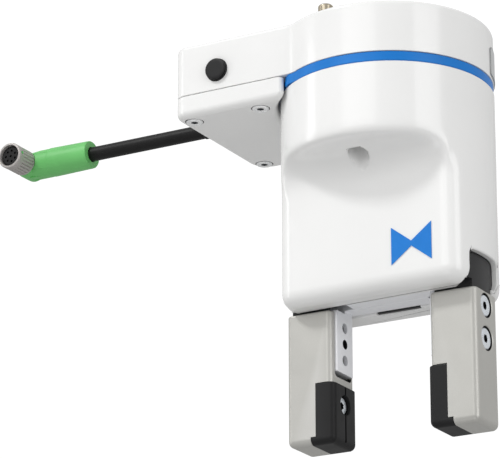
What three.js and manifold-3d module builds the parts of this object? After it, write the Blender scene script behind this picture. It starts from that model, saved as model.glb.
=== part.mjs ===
// Pneumatic two-jaw parallel gripper for a small robot arm, in millimetres, +Z up.
// The origin is the centre of the robot flange face, with the gripper hanging below it.
// The jaws move along X. The flat front is -Y. The side arm with its cable points to -X.
// At rest the piston is down and the jaws are open.
import * as THREE from "three";
import { mergeVertices } from "three/addons/utils/BufferGeometryUtils.js";
import Module from "manifold-3d";

const wasm = await Module();
wasm.setup();

// ---- Driving dimensions ----
const BIG = 40; // sides of a large circle
const MID = 16; // sides of a circle of about 10 mm
const FINE = 10; // sides of a small screw or hole
const CORNER = 4; // steps of a round corner
const RING = 28; // sides of the cylinder bore and what runs in it
const GAP = 0.3; // clearance between neighbouring pieces

const HOUSING_R = 42;
const WALL = 2.4;
const CAP_TOP = -3.2;
const CAP_BOTTOM = CAP_TOP - 20.9;
const SHELL_TOP = CAP_TOP - 25.1;
const SHELL_BOTTOM = CAP_TOP - 109.8;
const ARM_BOTTOM = CAP_TOP - 30;

const FLANGE_R = 31.5;
const FLANGE_RIM_R = 38.5;
const FLANGE_BOTTOM = -14;
const FLANGE_POCKET_Z = -7; // the screw heads and the top of the cap's rim stay below this
const BOLT_R = 25; // half of the 50 mm pitch circle of the robot flange
const JOIN_R = 26; // pitch radius of the screws between flange plate and body
const JOIN_ANGLES = [20, 160, 200, 340];
const PIN = { deg: 225, r: 3, bottom: -7.7, top: 9.3, tipR: 2.4, tip: 0.8 };

const ARM_END = -78;
const ARM_HALF = 34.7;
const ARM_CORNER_FRONT = 6;
const ARM_CORNER_BACK = 9;
const ARM_NECK_R = 10; // hollow corner between arm and round cap
const ARM_CLEAR_R = 43; // the arm's cover stays this far from the axis
const COVER_SCREW_X = [-71.6, -41.5];
const COVER_SCREW_Y = 28;
const COVER_SCREW = { sink: 0.5, pocketR: 3.7, pocket: 1.5, postR: 3.6, pilotR: 1.6 };

const FLAT_Y = 20;
const SCOOP_TOP = CAP_TOP - 54;
const SCOOP_R = 10.5;
const ACCESS_R = 4;
const MOUTH_Y = 8.2; // half width of the slot in the shell's underside
const WINDOW_Y = [-12.1, 10.9]; // of the right window, the left one is turned by half a turn
const WINDOW_TOP = CAP_TOP - 96.4;
const WINDOW_CORNER = 3;
const WINDOW_X = 25.8;
const FLARE_X = [32.5, 36.9]; // the underside's slot widens from here to here
const STRIP = { x0: -10, x1: 8.4, y: 9.9 };

const PISTON_R = 15.7;
const BORE_R = 16;
const BORE_BOTTOM = -54;
const BODY_SEAT = FLANGE_BOTTOM - GAP;
const PISTON_TOP = -45.5;
const PISTON_GROOVE = [-51, -48.4];
const COVER_GROOVE = [-26.5, -23.9];
const ROD = { r: 5, neckR: 3, sealR: 7, seal: [-57.5, -55.9] };
const TONGUE = { x: -8, z: -106, half: 2.6, y0: 1.2, y1: 6.8 }; // its low end, for the right jaw
const PISTON_TRAVEL = 14;
const JAW_STROKE = 10;
const BODY_Y = 16.2;
const SLIDE_TOP = -86;
const SLIDE_BOTTOM = SHELL_BOTTOM + 0.8;
const SLIDE_Y = 8;
const SLIDE_IN = 16; // the slide reaches this far past the axis
const SLIDE_OUT = 32;
const RIB = { z0: -96, z1: -91, y: 10.5, x0: -12, x1: 25 };

const LEG = { x0: 20, x1: 25.5, y: 6.4, z: CAP_TOP - 134.5, top: SLIDE_BOTTOM - 0.9 };
const FINGER = { x0: 21, x1: 40.7, y: 9.4, z0: CAP_TOP - 163.2, z1: CAP_TOP - 110.5 };
const FINGER_SCREW_Z = [CAP_TOP - 116, CAP_TOP - 129];
const FINGER_DOWEL_Z = CAP_TOP - 122.5;
const PAD = { x0: 20, x1: 28, top: CAP_TOP - 139.2, foot: CAP_TOP - 160.3, footX: 30.2 };
const PAD_SCREW_Z = CAP_TOP - 146.8;

const CABLE_Z = CAP_TOP - 22.6;
const CABLE_R = 3;
const CABLE_START = -83.8;
const CABLE_END = -136.7;
const PLUG = {
  end: -137,
  shoulder: -158,
  grip: -162.2,
  elbow: -168.3,
  r: 5.7,
  face: -16.7,
  neck: -5.3,
  back: 5.6,
};
const SLEEVE_R = [6.1, 5.8]; // at the shoulder and at the cable

const BUTTON = { x: -57.5, z: CAP_TOP - 12.9, r: 4.6, proud: 1.9 };
const AIR_PORT = { y: 18, z: -14.5 };

// ---- Geometry helpers ----
// A manifold-3d solid of a closed three.js geometry.
function solid(geometry) {
  const g = geometry.clone();
  g.deleteAttribute("normal");
  g.deleteAttribute("uv");
  const merged = mergeVertices(g, 1e-4);
  return new wasm.Manifold(
    new wasm.Mesh({
      numProp: 3,
      vertProperties: new Float32Array(merged.attributes.position.array),
      triVerts: new Uint32Array(merged.index.array),
    }),
  );
}

const join = (...solids) => solids.reduce((a, b) => a.add(b));
const cut = (base, ...tools) => tools.reduce((a, b) => a.subtract(b), base);

function geometryOf(part) {
  const mesh = part.getMesh();
  const flat = new THREE.BufferGeometry();
  flat.setAttribute("position", new THREE.BufferAttribute(mesh.vertProperties, 3));
  flat.setIndex(new THREE.BufferAttribute(mesh.triVerts, 1));
  const geometry = flat.toNonIndexed();
  geometry.computeVertexNormals();
  return geometry;
}

function box(x0, x1, y0, y1, z0, z1) {
  const g = new THREE.BoxGeometry(x1 - x0, y1 - y0, z1 - z0);
  return solid(g.translate((x0 + x1) / 2, (y0 + y1) / 2, (z0 + z1) / 2));
}

// A round bar along Z, X or Y, between two values on its axis.
function rodZ(r, z0, z1, x = 0, y = 0, sides = MID) {
  const g = new THREE.CylinderGeometry(r, r, z1 - z0, sides).rotateX(Math.PI / 2);
  return solid(g.translate(x, y, (z0 + z1) / 2));
}

function rodX(r, x0, x1, y, z, sides = MID, rEnd = r) {
  const g = new THREE.CylinderGeometry(rEnd, r, x1 - x0, sides).rotateZ(-Math.PI / 2);
  return solid(g.translate((x0 + x1) / 2, y, z));
}

function rodY(r, y0, y1, x, z, sides = MID) {
  const g = new THREE.CylinderGeometry(r, r, y1 - y0, sides);
  return solid(g.translate(x, (y0 + y1) / 2, z));
}

// A ring about the Z axis.
const ring = (rIn, rOut, z0, z1, sides = RING) =>
  cut(rodZ(rOut, z0, z1, 0, 0, sides), rodZ(rIn, z0 - 1, z1 + 1, 0, 0, sides));

const extrude = (shape, depth) =>
  new THREE.ExtrudeGeometry(shape, { depth, bevelEnabled: false });

// A plan outline in X and Y, raised from z0 to z1.
const slab = (shape, z0, z1) => solid(extrude(shape, z1 - z0).translate(0, 0, z0));

// A profile drawn in Y and Z, run along X from x0 to x1.
function prismX(shape, x0, x1) {
  const turn = new THREE.Matrix4().makeBasis(
    new THREE.Vector3(0, 1, 0),
    new THREE.Vector3(0, 0, 1),
    new THREE.Vector3(1, 0, 0),
  );
  return solid(extrude(shape, x1 - x0).applyMatrix4(turn).translate(x0, 0, 0));
}

// A profile drawn in X and Z, run along Y from y0 to y1.
function prismY(shape, y0, y1) {
  return solid(extrude(shape, y1 - y0).rotateX(Math.PI / 2).translate(0, y1, 0));
}

const outline = (points) => new THREE.Shape(points.map(([x, y]) => new THREE.Vector2(x, y)));

// The points of a round stretch about a centre, from angle a0 to a1 in degrees.
function arc(cx, cy, r, a0, a1, steps = CORNER) {
  return Array.from({ length: steps + 1 }, (_, i) => {
    const [dx, dy] = polar(r, a0 + ((a1 - a0) * i) / steps);
    return [cx + dx, cy + dy];
  });
}

function polar(r, deg) {
  const a = (deg * Math.PI) / 180;
  return [r * Math.cos(a), r * Math.sin(a)];
}

// A rectangle with round corners, in a profile's two directions.
function roundedRect(x0, x1, y0, y1, r) {
  return outline([
    ...arc(x1 - r, y0 + r, r, -90, 0),
    ...arc(x1 - r, y1 - r, r, 0, 90),
    ...arc(x0 + r, y1 - r, r, 90, 180),
    ...arc(x0 + r, y0 + r, r, 180, 270),
  ]);
}

// A socket-head screw along Z with its head at the bottom end, before it is turned or moved.
function socketScrew(headR, headH, shankR, shankL, keyR) {
  return cut(
    join(rodZ(headR, 0, headH, 0, 0, MID), rodZ(shankR, headH - 0.1, headH + shankL, 0, 0, FINE)),
    rodZ(keyR, -1, headH * 0.55, 0, 0, 6),
  );
}

// ---- The assembly ----
const gripper = new THREE.Group();
gripper.name = "pneumatic_gripper";

const FINISH = {
  white: { color: 0xf1f2f3, roughness: 0.25, metalness: 0 },
  blue: { color: 0x2a7fd0, roughness: 0.3, metalness: 0 },
  black: { color: 0x2b2b2c, roughness: 0.5, metalness: 0 },
  rubber: { color: 0x1c1c1d, roughness: 0.8, metalness: 0 },
  aluminium: { color: 0xc4c6ca, roughness: 0.35, metalness: 1 },
  finger: { color: 0xb9b7b1, roughness: 0.45, metalness: 0.6 },
  steel: { color: 0x9a9791, roughness: 0.3, metalness: 1 },
  green: { color: 0x6cbb70, roughness: 0.45, metalness: 0 },
  board: { color: 0x1f5c3a, roughness: 0.6, metalness: 0 },
  label: { color: 0xdadcde, roughness: 0.5, metalness: 0 },
};

function add(name, part, finish, place = [0, 0, 0], turn = [0, 0, 0]) {
  const mesh = new THREE.Mesh(geometryOf(part), new THREE.MeshStandardMaterial(FINISH[finish]));
  mesh.name = name;
  mesh.position.set(...place);
  mesh.rotation.set(...turn);
  gripper.add(mesh);
}

// A screw along X in one jaw, with its head looking outwards (+1) or inwards (-1).
function addJawScrew(name, part, jaw, looks, headAt, z) {
  add(name, part, "steel", [jaw * headAt, 0, z], [0, (-jaw * looks * Math.PI) / 2, 0]);
}

// ---- Flange ----
function robotFlange() {
  const plate = join(
    rodZ(FLANGE_R, FLANGE_POCKET_Z, 0, 0, 0, BIG),
    rodZ(FLANGE_RIM_R, FLANGE_BOTTOM, CAP_TOP - WALL - GAP, 0, 0, BIG),
  );
  const below = FLANGE_BOTTOM - 1;
  const screwHoles = [-1, 1].flatMap((s) => [
    rodZ(3.4, below, 1, 0, s * BOLT_R, FINE),
    rodZ(HEAD_POCKET_R, below, FLANGE_POCKET_Z, 0, s * BOLT_R, MID),
  ]);
  const joinHoles = JOIN_ANGLES.flatMap((deg) => {
    const [x, y] = polar(JOIN_R, deg);
    return [rodZ(2.6, below, 1, x, y, FINE), rodZ(4.6, -5.5, 1, x, y, MID)];
  });
  const pinHole = rodZ(PIN.r + GAP, PIN.bottom - GAP, 1, ...polar(BOLT_R, PIN.deg), MID);
  return cut(plate, ...screwHoles, ...joinHoles, pinHole);
}

function dowelPin() {
  const [x, y] = polar(BOLT_R, PIN.deg);
  const tip = new THREE.CylinderGeometry(PIN.tipR, PIN.r, PIN.tip, MID)
    .rotateX(Math.PI / 2)
    .translate(x, y, PIN.top - PIN.tip / 2);
  return join(rodZ(PIN.r, PIN.bottom, PIN.top - PIN.tip, x, y), solid(tip));
}

// Captive screw of the robot flange, retracted under the flange face.
const mountingScrew = () => socketScrew(5, 6, 3, 12.4, 2.6);
const MOUNTING_SCREW_Z = -19.4;
const HEAD_POCKET_R = 5.5;

// Screw that joins flange plate and body, put in from above.
const flangeScrew = () => socketScrew(4.3, 4.4, 2.2, 13, 2);
const FLANGE_SCREW_Z = -0.8;

// ---- Housing ----
// Plan outline of the cap with its arm, moved inwards by an inset.
function capOutline(inset) {
  const r = HOUSING_R - inset;
  const half = ARM_HALF - inset;
  const end = ARM_END + inset;
  const neck = ARM_NECK_R + inset;
  const front = ARM_CORNER_FRONT - inset;
  const back = ARM_CORNER_BACK - inset;
  const neckX = Math.sqrt((r + neck) ** 2 - (half + neck) ** 2);
  const turn = (Math.atan2(half + neck, neckX) * 180) / Math.PI; // of the neck's centre from -X
  const roundSteps = Math.round(BIG * 0.8);
  return outline([
    ...arc(-neckX, -half - neck, neck, 90, turn),
    ...arc(0, 0, r, turn - 180, 180 - turn, roundSteps).slice(1, -1),
    ...arc(-neckX, half + neck, neck, -turn, -90),
    ...arc(end + back, half - back, back, 90, 180),
    ...arc(end + front, -half + front, front, 180, 270),
  ]);
}

const coverScrewPlaces = COVER_SCREW_X.flatMap((x) =>
  [-COVER_SCREW_Y, COVER_SCREW_Y].map((y) => [x, y]),
);

function topCap() {
  const shell = cut(
    slab(capOutline(0), CAP_BOTTOM, CAP_TOP),
    slab(capOutline(WALL), CAP_BOTTOM - 1, CAP_TOP - WALL),
    rodZ(FLANGE_R + GAP, CAP_TOP - 5, CAP_TOP + 1, 0, 0, BIG),
  );
  const posts = coverScrewPlaces.map(([x, y]) =>
    rodZ(COVER_SCREW.postR, CAP_BOTTOM, CAP_TOP - 1, x, y, FINE),
  );
  return cut(
    join(shell, ...posts),
    ...coverScrewPlaces.map(([x, y]) => rodZ(COVER_SCREW.pilotR, CAP_BOTTOM - 1, -12, x, y, FINE)),
    rodY(BUTTON.r + GAP, -40, -30, BUTTON.x, BUTTON.z),
    rodX(4.5, ARM_END - 1, ARM_END + 4, 0, CABLE_Z),
    rodX(4, ARM_END - 1, ARM_END + 4, AIR_PORT.y, AIR_PORT.z),
  );
}

// Plan outline of the arm alone, moved inwards by an inset.
function armOutline(inset) {
  const end = ARM_END + inset;
  const half = ARM_HALF - inset;
  const front = ARM_CORNER_FRONT - inset;
  const back = ARM_CORNER_BACK - inset;
  return outline([
    [0, -half],
    [0, half],
    ...arc(end + back, half - back, back, 90, 180),
    ...arc(end + front, -half + front, front, 180, 270),
  ]);
}

function armCover() {
  const top = CAP_BOTTOM - GAP / 2;
  const tray = cut(
    slab(armOutline(0), ARM_BOTTOM, top),
    rodZ(ARM_CLEAR_R, ARM_BOTTOM - 1, top + 1, 0, 0, BIG),
    cut(
      slab(armOutline(WALL), ARM_BOTTOM + WALL, top + 1),
      rodZ(ARM_CLEAR_R + WALL, ARM_BOTTOM - 1, top + 1, 0, 0, BIG),
    ),
  );
  const { pocketR, pocket, postR, pilotR } = COVER_SCREW;
  const posts = coverScrewPlaces.map(([x, y]) => rodZ(postR, ARM_BOTTOM + 1, top, x, y, FINE));
  const holes = coverScrewPlaces.flatMap(([x, y]) => [
    rodZ(pilotR, ARM_BOTTOM - 1, top + 1, x, y, FINE),
    rodZ(pocketR, ARM_BOTTOM - 1, ARM_BOTTOM + pocket, x, y, MID),
  ]);
  return cut(
    join(tray, ...posts),
    ...holes,
    rodX(4.5, ARM_END - 1, ARM_END + 4, 0, CABLE_Z),
  );
}

const coverScrew = () => socketScrew(3.35, 1.7, 1.3, 13, 1.6);

// The scoop under one side's ceiling, in Y and Z, grown by an inset to give the wall behind it.
function scoopProfile(inset, side) {
  const r = SCOOP_R + inset;
  const wall = side * (FLAT_Y - inset);
  const far = side * (HOUSING_R + 10);
  const top = SCOOP_TOP + inset;
  const low = SHELL_BOTTOM - 5;
  return outline([
    [far, low],
    [wall, low],
    ...arc(wall + side * r, top - r, r, side < 0 ? 0 : 180, 90, 6),
    [far, top],
  ]);
}

const scoops = (inset) => [-1, 1].map((side) => prismX(scoopProfile(inset, side), -60, 60));

// Profile of a side window, in Y and Z.
function windowProfile([y0, y1]) {
  const [sill, r] = [SHELL_BOTTOM + WALL, WINDOW_CORNER];
  return outline([
    [y0, sill],
    [y1, sill],
    ...arc(y1 - r, WINDOW_TOP - r, r, 0, 90),
    ...arc(y0 + r, WINDOW_TOP - r, r, 90, 180),
  ]);
}

// One end of the underside's slot widens towards the corner of the side window.
function flare(side) {
  const plan = outline([
    [FLARE_X[0], -MOUTH_Y],
    [FLARE_X[1], WINDOW_Y[0]],
    [50, WINDOW_Y[0]],
    [50, 1 - MOUTH_Y],
    [FLARE_X[0], 1 - MOUTH_Y],
  ].map(([x, y]) => [side * x, side * y]));
  return slab(plan, SHELL_BOTTOM - 1, SHELL_BOTTOM + WALL);
}

function mainShell() {
  const outer = cut(rodZ(HOUSING_R, SHELL_BOTTOM, SHELL_TOP, 0, 0, BIG), ...scoops(0));
  const inner = cut(
    rodZ(HOUSING_R - WALL, SHELL_BOTTOM + WALL, SHELL_TOP + 1, 0, 0, BIG),
    ...scoops(WALL),
  );
  const mouth = box(-50, 50, -MOUTH_Y, MOUTH_Y, SHELL_BOTTOM - 1, SHELL_BOTTOM + WALL + 1);
  const [y0, y1] = WINDOW_Y;
  const windows = [
    prismX(windowProfile([y0, y1]), WINDOW_X, 50),
    prismX(windowProfile([-y1, -y0]), -50, -WINDOW_X),
    flare(1),
    flare(-1),
  ];
  const access = [-1, 1].map((s) =>
    rodZ(ACCESS_R, SCOOP_TOP - 12, SCOOP_TOP + 6, 0, s * BOLT_R, MID),
  );
  const stripSeat = box(
    STRIP.x0 - GAP,
    STRIP.x1 + GAP,
    MOUTH_Y - 1,
    STRIP.y + GAP,
    SHELL_BOTTOM - 1,
    SHELL_BOTTOM + 1.5,
  );
  return cut(outer, inner, mouth, ...windows, ...access, stripSeat);
}

function sensorStrip() {
  return box(STRIP.x0, STRIP.x1, MOUTH_Y + 0.1, STRIP.y, SHELL_BOTTOM + 0.4, SHELL_BOTTOM + 1.3);
}

// A plate bent around the housing, over the angles given in degrees.
function bentPlate(rIn, rOut, deg0, deg1, z0, z1) {
  const steps = Math.ceil((deg1 - deg0) / 6);
  const plan = outline([...arc(0, 0, rOut, deg0, deg1, steps), ...arc(0, 0, rIn, deg1, deg0, steps)]);
  return slab(plan, z0, z1);
}

// Two opposed arrowheads with their tips joined, a plain sign for gripping.
function frontMark() {
  const [x0, x1, z0, z1] = [11, 28, CAP_TOP - 101, CAP_TOP - 86];
  const [cx, cz] = [(x0 + x1) / 2, (z0 + z1) / 2];
  const points = [
    [x0, z0],
    [cx, cz - 1],
    [x1, z0],
    [x1, z1],
    [cx, cz + 1],
    [x0, z1],
  ];
  return prismY(outline(points), -FLAT_Y - 0.3, -FLAT_Y - 0.1);
}

// ---- Drive ----
function gripperBody() {
  const block = join(
    rodZ(32, -22, BODY_SEAT, 0, 0, BIG),
    rodZ(19.2, -53, -21, 0, 0, RING),
    box(-30, 30, -BODY_Y, BODY_Y, SHELL_BOTTOM + WALL + GAP, -52.5),
  );
  const chamber = box(-12, 12, -SLIDE_Y - GAP, SLIDE_Y + GAP, SLIDE_TOP - 1, -58);
  const channel = box(-50, 50, -SLIDE_Y - GAP, SLIDE_Y + GAP, SHELL_BOTTOM - 1, SLIDE_TOP + GAP);
  const ribs = box(-50, 50, -RIB.y - GAP, RIB.y + GAP, RIB.z0 - GAP, RIB.z1 + GAP);
  const coverRoom = [-1, 1].map((jaw) =>
    jawBox(jaw, WINDOW_X, 50, WINDOW_Y[0], -WINDOW_Y[0], SHELL_BOTTOM - 1, WINDOW_TOP + 1.2),
  );
  const above = FLANGE_BOTTOM + 1;
  const screwPockets = [-1, 1].flatMap((s) => [
    rodZ(HEAD_POCKET_R, MOUNTING_SCREW_Z - GAP, above, 0, s * BOLT_R, MID),
    rodZ(ACCESS_R + 0.2, -23, above, 0, s * BOLT_R, MID),
  ]);
  const joinHoles = JOIN_ANGLES.map((deg) => rodZ(2.5, -20, above, ...polar(JOIN_R, deg), FINE));
  return cut(
    block,
    rodZ(BORE_R, BORE_BOTTOM, above, 0, 0, RING),
    rodZ(ROD.r + GAP, BORE_BOTTOM - 6, BORE_BOTTOM + 1, 0, 0, MID),
    rodZ(ROD.sealR + GAP, ROD.seal[0] - GAP, ROD.seal[1] + GAP, 0, 0, MID),
    chamber,
    channel,
    ribs,
    ...coverRoom,
    ...screwPockets,
    ...joinHoles,
  );
}

function cylinderCover() {
  const [bottom, hollowTop] = [-29.5, -20];
  const plug = rodZ(BORE_R - GAP, bottom, BODY_SEAT - 0.2, 0, 0, RING);
  const hollow = rodZ(11, bottom - 1, hollowTop, 0, 0, MID);
  return cut(plug, ring(14, BORE_R + 1, ...COVER_GROOVE), hollow);
}

const coverSeal = () => ring(14 + GAP, BORE_R - 0.2, COVER_GROOVE[0] + GAP, COVER_GROOVE[1] - GAP);

// Piston down, with a groove for its seal and a seat for the rod.
function piston() {
  const disc = rodZ(PISTON_R, BORE_BOTTOM + 0.5, PISTON_TOP, 0, 0, RING);
  const seat = rodZ(ROD.neckR + GAP, BORE_BOTTOM, PISTON_TOP + 1, 0, 0, FINE);
  return cut(disc, ring(13.7, PISTON_R + 1, ...PISTON_GROOVE), seat);
}

const pistonSeal = () =>
  ring(14, BORE_R - 0.15, PISTON_GROOVE[0] + GAP, PISTON_GROOVE[1] - GAP);
const rodSeal = () => ring(ROD.r + GAP, ROD.sealR, ...ROD.seal, MID);

// Rod, head and two slanted tongues that cross like an X, each in its own half of the width.
function wedgeHook() {
  const top = SLIDE_TOP + 10;
  const head = box(-11.4, 11.4, -SLIDE_Y + GAP, SLIDE_Y - GAP, SLIDE_TOP + 2, top);
  const rod = join(
    rodZ(ROD.r, top - 1, BORE_BOTTOM + 0.2, 0, 0, MID),
    rodZ(ROD.neckR, BORE_BOTTOM, PISTON_TOP - GAP, 0, 0, FINE),
  );
  return join(head, rod, tongue(1, 0), tongue(-1, 0));
}

// The tongue that drives one jaw, or the slot for it when it is grown by a clearance.
// The right jaw (+1) has its slide in the front half, the left jaw (-1) in the back half.
function tongue(jaw, clearance) {
  const slope = JAW_STROKE / PISTON_TRAVEL;
  const bottom = TONGUE.z - clearance;
  const top = SLIDE_TOP + (clearance ? 5 : 3);
  const xAt = (z) => jaw * (TONGUE.x + (z - TONGUE.z) * slope);
  const half = TONGUE.half + clearance * 1.25;
  const profile = outline([
    [xAt(bottom) - half, bottom],
    [xAt(bottom) + half, bottom],
    [xAt(top) + half, top],
    [xAt(top) - half, top],
  ]);
  const inner = TONGUE.y0 - clearance;
  const outer = TONGUE.y1 + clearance;
  return jaw > 0 ? prismY(profile, -outer, -inner) : prismY(profile, inner, outer);
}

// ---- Jaws ----
// A box given for the right jaw, mirrored in X for the left one.
const jawBox = (jaw, x0, x1, y0, y1, z0, z1) =>
  jaw > 0 ? box(x0, x1, y0, y1, z0, z1) : box(-x1, -x0, y0, y1, z0, z1);

const jawRod = (jaw, r, x0, x1, y, z, sides) =>
  jaw > 0 ? rodX(r, x0, x1, y, z, sides) : rodX(r, -x1, -x0, y, z, sides);

// The slide runs in the body, and the leg hangs below it and carries the finger.
function baseJaw(jaw) {
  const [y0, y1] = jaw > 0 ? [-SLIDE_Y, -0.15] : [0.15, SLIDE_Y];
  const [ribY0, ribY1] = jaw > 0 ? [-RIB.y, -SLIDE_Y + 1] : [SLIDE_Y - 1, RIB.y];
  const [legY0, legY1] = jaw > 0 ? [-LEG.y, -0.15] : [0.15, LEG.y];
  const body = join(
    jawBox(jaw, -SLIDE_IN, SLIDE_OUT, y0, y1, SLIDE_BOTTOM, SLIDE_TOP),
    jawBox(jaw, RIB.x0, RIB.x1, ribY0, ribY1, RIB.z0, RIB.z1),
    jawBox(jaw, LEG.x0, LEG.x1, legY0, legY1, LEG.top - 1, SLIDE_BOTTOM + 1),
    jawBox(jaw, LEG.x0, LEG.x1, -LEG.y, LEG.y, LEG.z, LEG.top),
  );
  return cut(
    body,
    tongue(jaw, GAP),
    ...FINGER_SCREW_Z.map((z) => jawRod(jaw, 2.6, LEG.x0 - 1, LEG.x1 + 1, 0, z, FINE)),
    jawRod(jaw, 2.2, LEG.x0 - 1, LEG.x1 + 1, 0, FINGER_DOWEL_Z, FINE),
  );
}

// Black cover that closes the side window and the end of the slide, with its foot on the finger.
function jawCover(jaw) {
  const [rIn, rOut] = [38, 39.4];
  const side = jaw > 0 ? 0 : 180;
  const shield = (y0, y1, z0, z1) => {
    const [from, to] = [y0, y1].map((y) => side + (Math.asin(y / rOut) * 180) / Math.PI);
    return bentPlate(rIn, rOut, from, to, z0, z1);
  };
  const [z0, z1] = [FINGER.z1 + 0.25, SLIDE_BOTTOM - GAP];
  const footY = MOUTH_Y - GAP;
  const [sill, top] = [SHELL_BOTTOM + WALL, WINDOW_TOP - 0.4];
  const end = rOut - 1.1;
  const foot = cut(
    jawBox(jaw, FINGER.x0 + 1.5, end, -footY, footY, z0, z1),
    jawBox(jaw, LEG.x0 - 1, LEG.x1 + GAP, -LEG.y - GAP, LEG.y + GAP, z0 - 1, z1 + 1),
  );
  // The half of the width in which this jaw's own slide ends.
  const capY = [GAP - footY, -GAP].map((y) => jaw * y).sort((a, b) => a - b);
  return join(
    shield(WINDOW_Y[0] + 0.4, WINDOW_Y[1] - 0.4, sill + GAP, top),
    shield(-footY, footY, z0, sill + 1),
    jawBox(jaw, SLIDE_OUT + GAP, end, ...capY, z0 + 0.1, top - 1),
    foot,
  );
}

function finger(jaw) {
  const block = (() => {
    const [x0, x1] = jaw > 0 ? [FINGER.x0, FINGER.x1] : [-FINGER.x1, -FINGER.x0];
    return slab(roundedRect(x0, x1, -FINGER.y, FINGER.y, 2.4), FINGER.z0, FINGER.z1);
  })();
  const legSlot = jawBox(
    jaw,
    FINGER.x0 - 1,
    LEG.x1 + GAP,
    -LEG.y - GAP,
    LEG.y + GAP,
    LEG.z - 1.9,
    FINGER.z1 + 1,
  );
  const padSeat = join(
    jawBox(jaw, FINGER.x0 - 1, PAD.x1 + GAP, -10, 10, FINGER.z0 - 1, PAD.top + GAP),
    jawBox(jaw, FINGER.x0 - 1, PAD.footX + GAP, -10, 10, FINGER.z0 - 1, PAD.foot + GAP),
  );
  const screwHoles = FINGER_SCREW_Z.flatMap((z) => [
    jawRod(jaw, 2.6, LEG.x1 - 1, FINGER.x1 + 1, 0, z, FINE),
    jawRod(jaw, 4.8, FINGER.x1 - 5.6, FINGER.x1 + 1, 0, z, MID),
  ]);
  const legPocket = jawBox(jaw, LEG.x1, 31, -LEG.y, LEG.y, LEG.z - 1.9, LEG.z - 0.2);
  return cut(
    block,
    legSlot,
    legPocket,
    padSeat,
    ...screwHoles,
    jawRod(jaw, 2.3, LEG.x1 - 1, 32, 0, FINGER_DOWEL_Z, FINE),
    jawRod(jaw, 1.8, PAD.x1 - 1, 37, 0, PAD_SCREW_Z, FINE),
  );
}

function pad(jaw) {
  const profile = outline([
    [PAD.x0, FINGER.z0],
    [PAD.footX, FINGER.z0],
    [PAD.footX, PAD.foot],
    [PAD.x1, PAD.foot],
    [PAD.x1, PAD.top],
    [PAD.x0, PAD.top],
  ].map(([x, z]) => [jaw * x, z]));
  return cut(
    prismY(profile, -FINGER.y, FINGER.y),
    jawBox(jaw, PAD.x0 - 1, PAD.x0 + 1.6, -0.45, 0.45, FINGER.z0 + 1.7, PAD.top + 1),
    jawRod(jaw, 3.9, PAD.x0 - 1, PAD.x0 + 4.5, 0, PAD_SCREW_Z, MID),
    jawRod(jaw, 2, PAD.x0, PAD.x1 + 1, 0, PAD_SCREW_Z, FINE),
  );
}

const fingerScrew = () => socketScrew(4.3, 4.6, 2.3, 14, 1.7);
const padScrew = () => socketScrew(3.5, 2.6, 1.5, 11, 1.4);
const fingerDowel = (jaw) => jawRod(jaw, 1.9, LEG.x0 + 4, 31.5, 0, FINGER_DOWEL_Z, FINE);

// ---- Arm contents ----
function airPort() {
  const bush = join(
    rodX(3.7, ARM_END - 0.5, ARM_END + 5, AIR_PORT.y, AIR_PORT.z),
    rodX(5.2, ARM_END - 1.4, ARM_END - GAP, AIR_PORT.y, AIR_PORT.z),
  );
  return cut(bush, rodX(2.1, ARM_END - 2, ARM_END + 4, AIR_PORT.y, AIR_PORT.z, FINE));
}

function valveBlock() {
  const block = box(-71, -48.5, 8, 23.4, -28, -8);
  return cut(block, rodX(2, -72, -60, AIR_PORT.y, AIR_PORT.z, FINE));
}

const valveCoil = () => box(-48.2, -37.5, 9, 22, -24, -14.5);
const controlBoard = () => box(-73.5, -48, -23, 6.5, -30.2, -28.6);

function pushButton() {
  const back = -ARM_HALF + WALL + GAP;
  return join(
    rodY(BUTTON.r, -ARM_HALF - BUTTON.proud, back + 1.5, BUTTON.x, BUTTON.z),
    rodY(BUTTON.r + 1.2, back, back + 1.4, BUTTON.x, BUTTON.z),
  );
}

const buttonSwitch = () =>
  box(BUTTON.x - 3.5, BUTTON.x + 3.5, -28.9, -24.5, BUTTON.z - 3.5, BUTTON.z + 3.5);

// ---- Cable and connector ----
function cableGrommet() {
  return join(
    rodX(3.6, CABLE_START + GAP, ARM_END - 1, 0, CABLE_Z, MID, 4.2),
    rodX(4.2, ARM_END - 1.2, ARM_END + WALL + 0.5, 0, CABLE_Z),
    rodX(4.9, ARM_END + WALL + GAP, ARM_END + WALL + 1.6, 0, CABLE_Z),
  );
}

// The cable's route is one straight line from the grommet to the connector.
function cable() {
  const route = new THREE.LineCurve3(
    new THREE.Vector3(CABLE_START, 0, CABLE_Z),
    new THREE.Vector3(CABLE_END, 0, CABLE_Z),
  );
  const section = new THREE.Shape();
  section.absarc(0, 0, CABLE_R, 0, 2 * Math.PI);
  return solid(
    new THREE.ExtrudeGeometry(section, { steps: 4, extrudePath: route, curveSegments: 10 }),
  );
}

function connectorBody() {
  const z = CABLE_Z;
  return join(
    rodX(SLEEVE_R[0], PLUG.shoulder, PLUG.end, 0, z, MID, SLEEVE_R[1]),
    rodX(5.1, PLUG.elbow, PLUG.grip + 1, 0, z, 12),
    rodX(5.9, PLUG.grip, PLUG.shoulder + 1, 0, z, 12),
    rodY(5.5, PLUG.neck + GAP, PLUG.back, PLUG.elbow, z),
  );
}

function contactInsert() {
  const sockets = [0, 1, 2, 3, 4, 5, 6].map((i) => {
    const a = (i * 2 * Math.PI) / 7;
    const [dx, dz] = [2.4 * Math.cos(a), 2.4 * Math.sin(a)];
    return rodY(0.4, -16, -13, PLUG.elbow + dx, CABLE_Z + dz, 8);
  });
  return cut(
    rodY(4.1, PLUG.face + 1.3, PLUG.neck, PLUG.elbow, CABLE_Z),
    rodY(0.4, -16, -13, PLUG.elbow, CABLE_Z, 8),
    ...sockets,
  );
}

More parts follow.
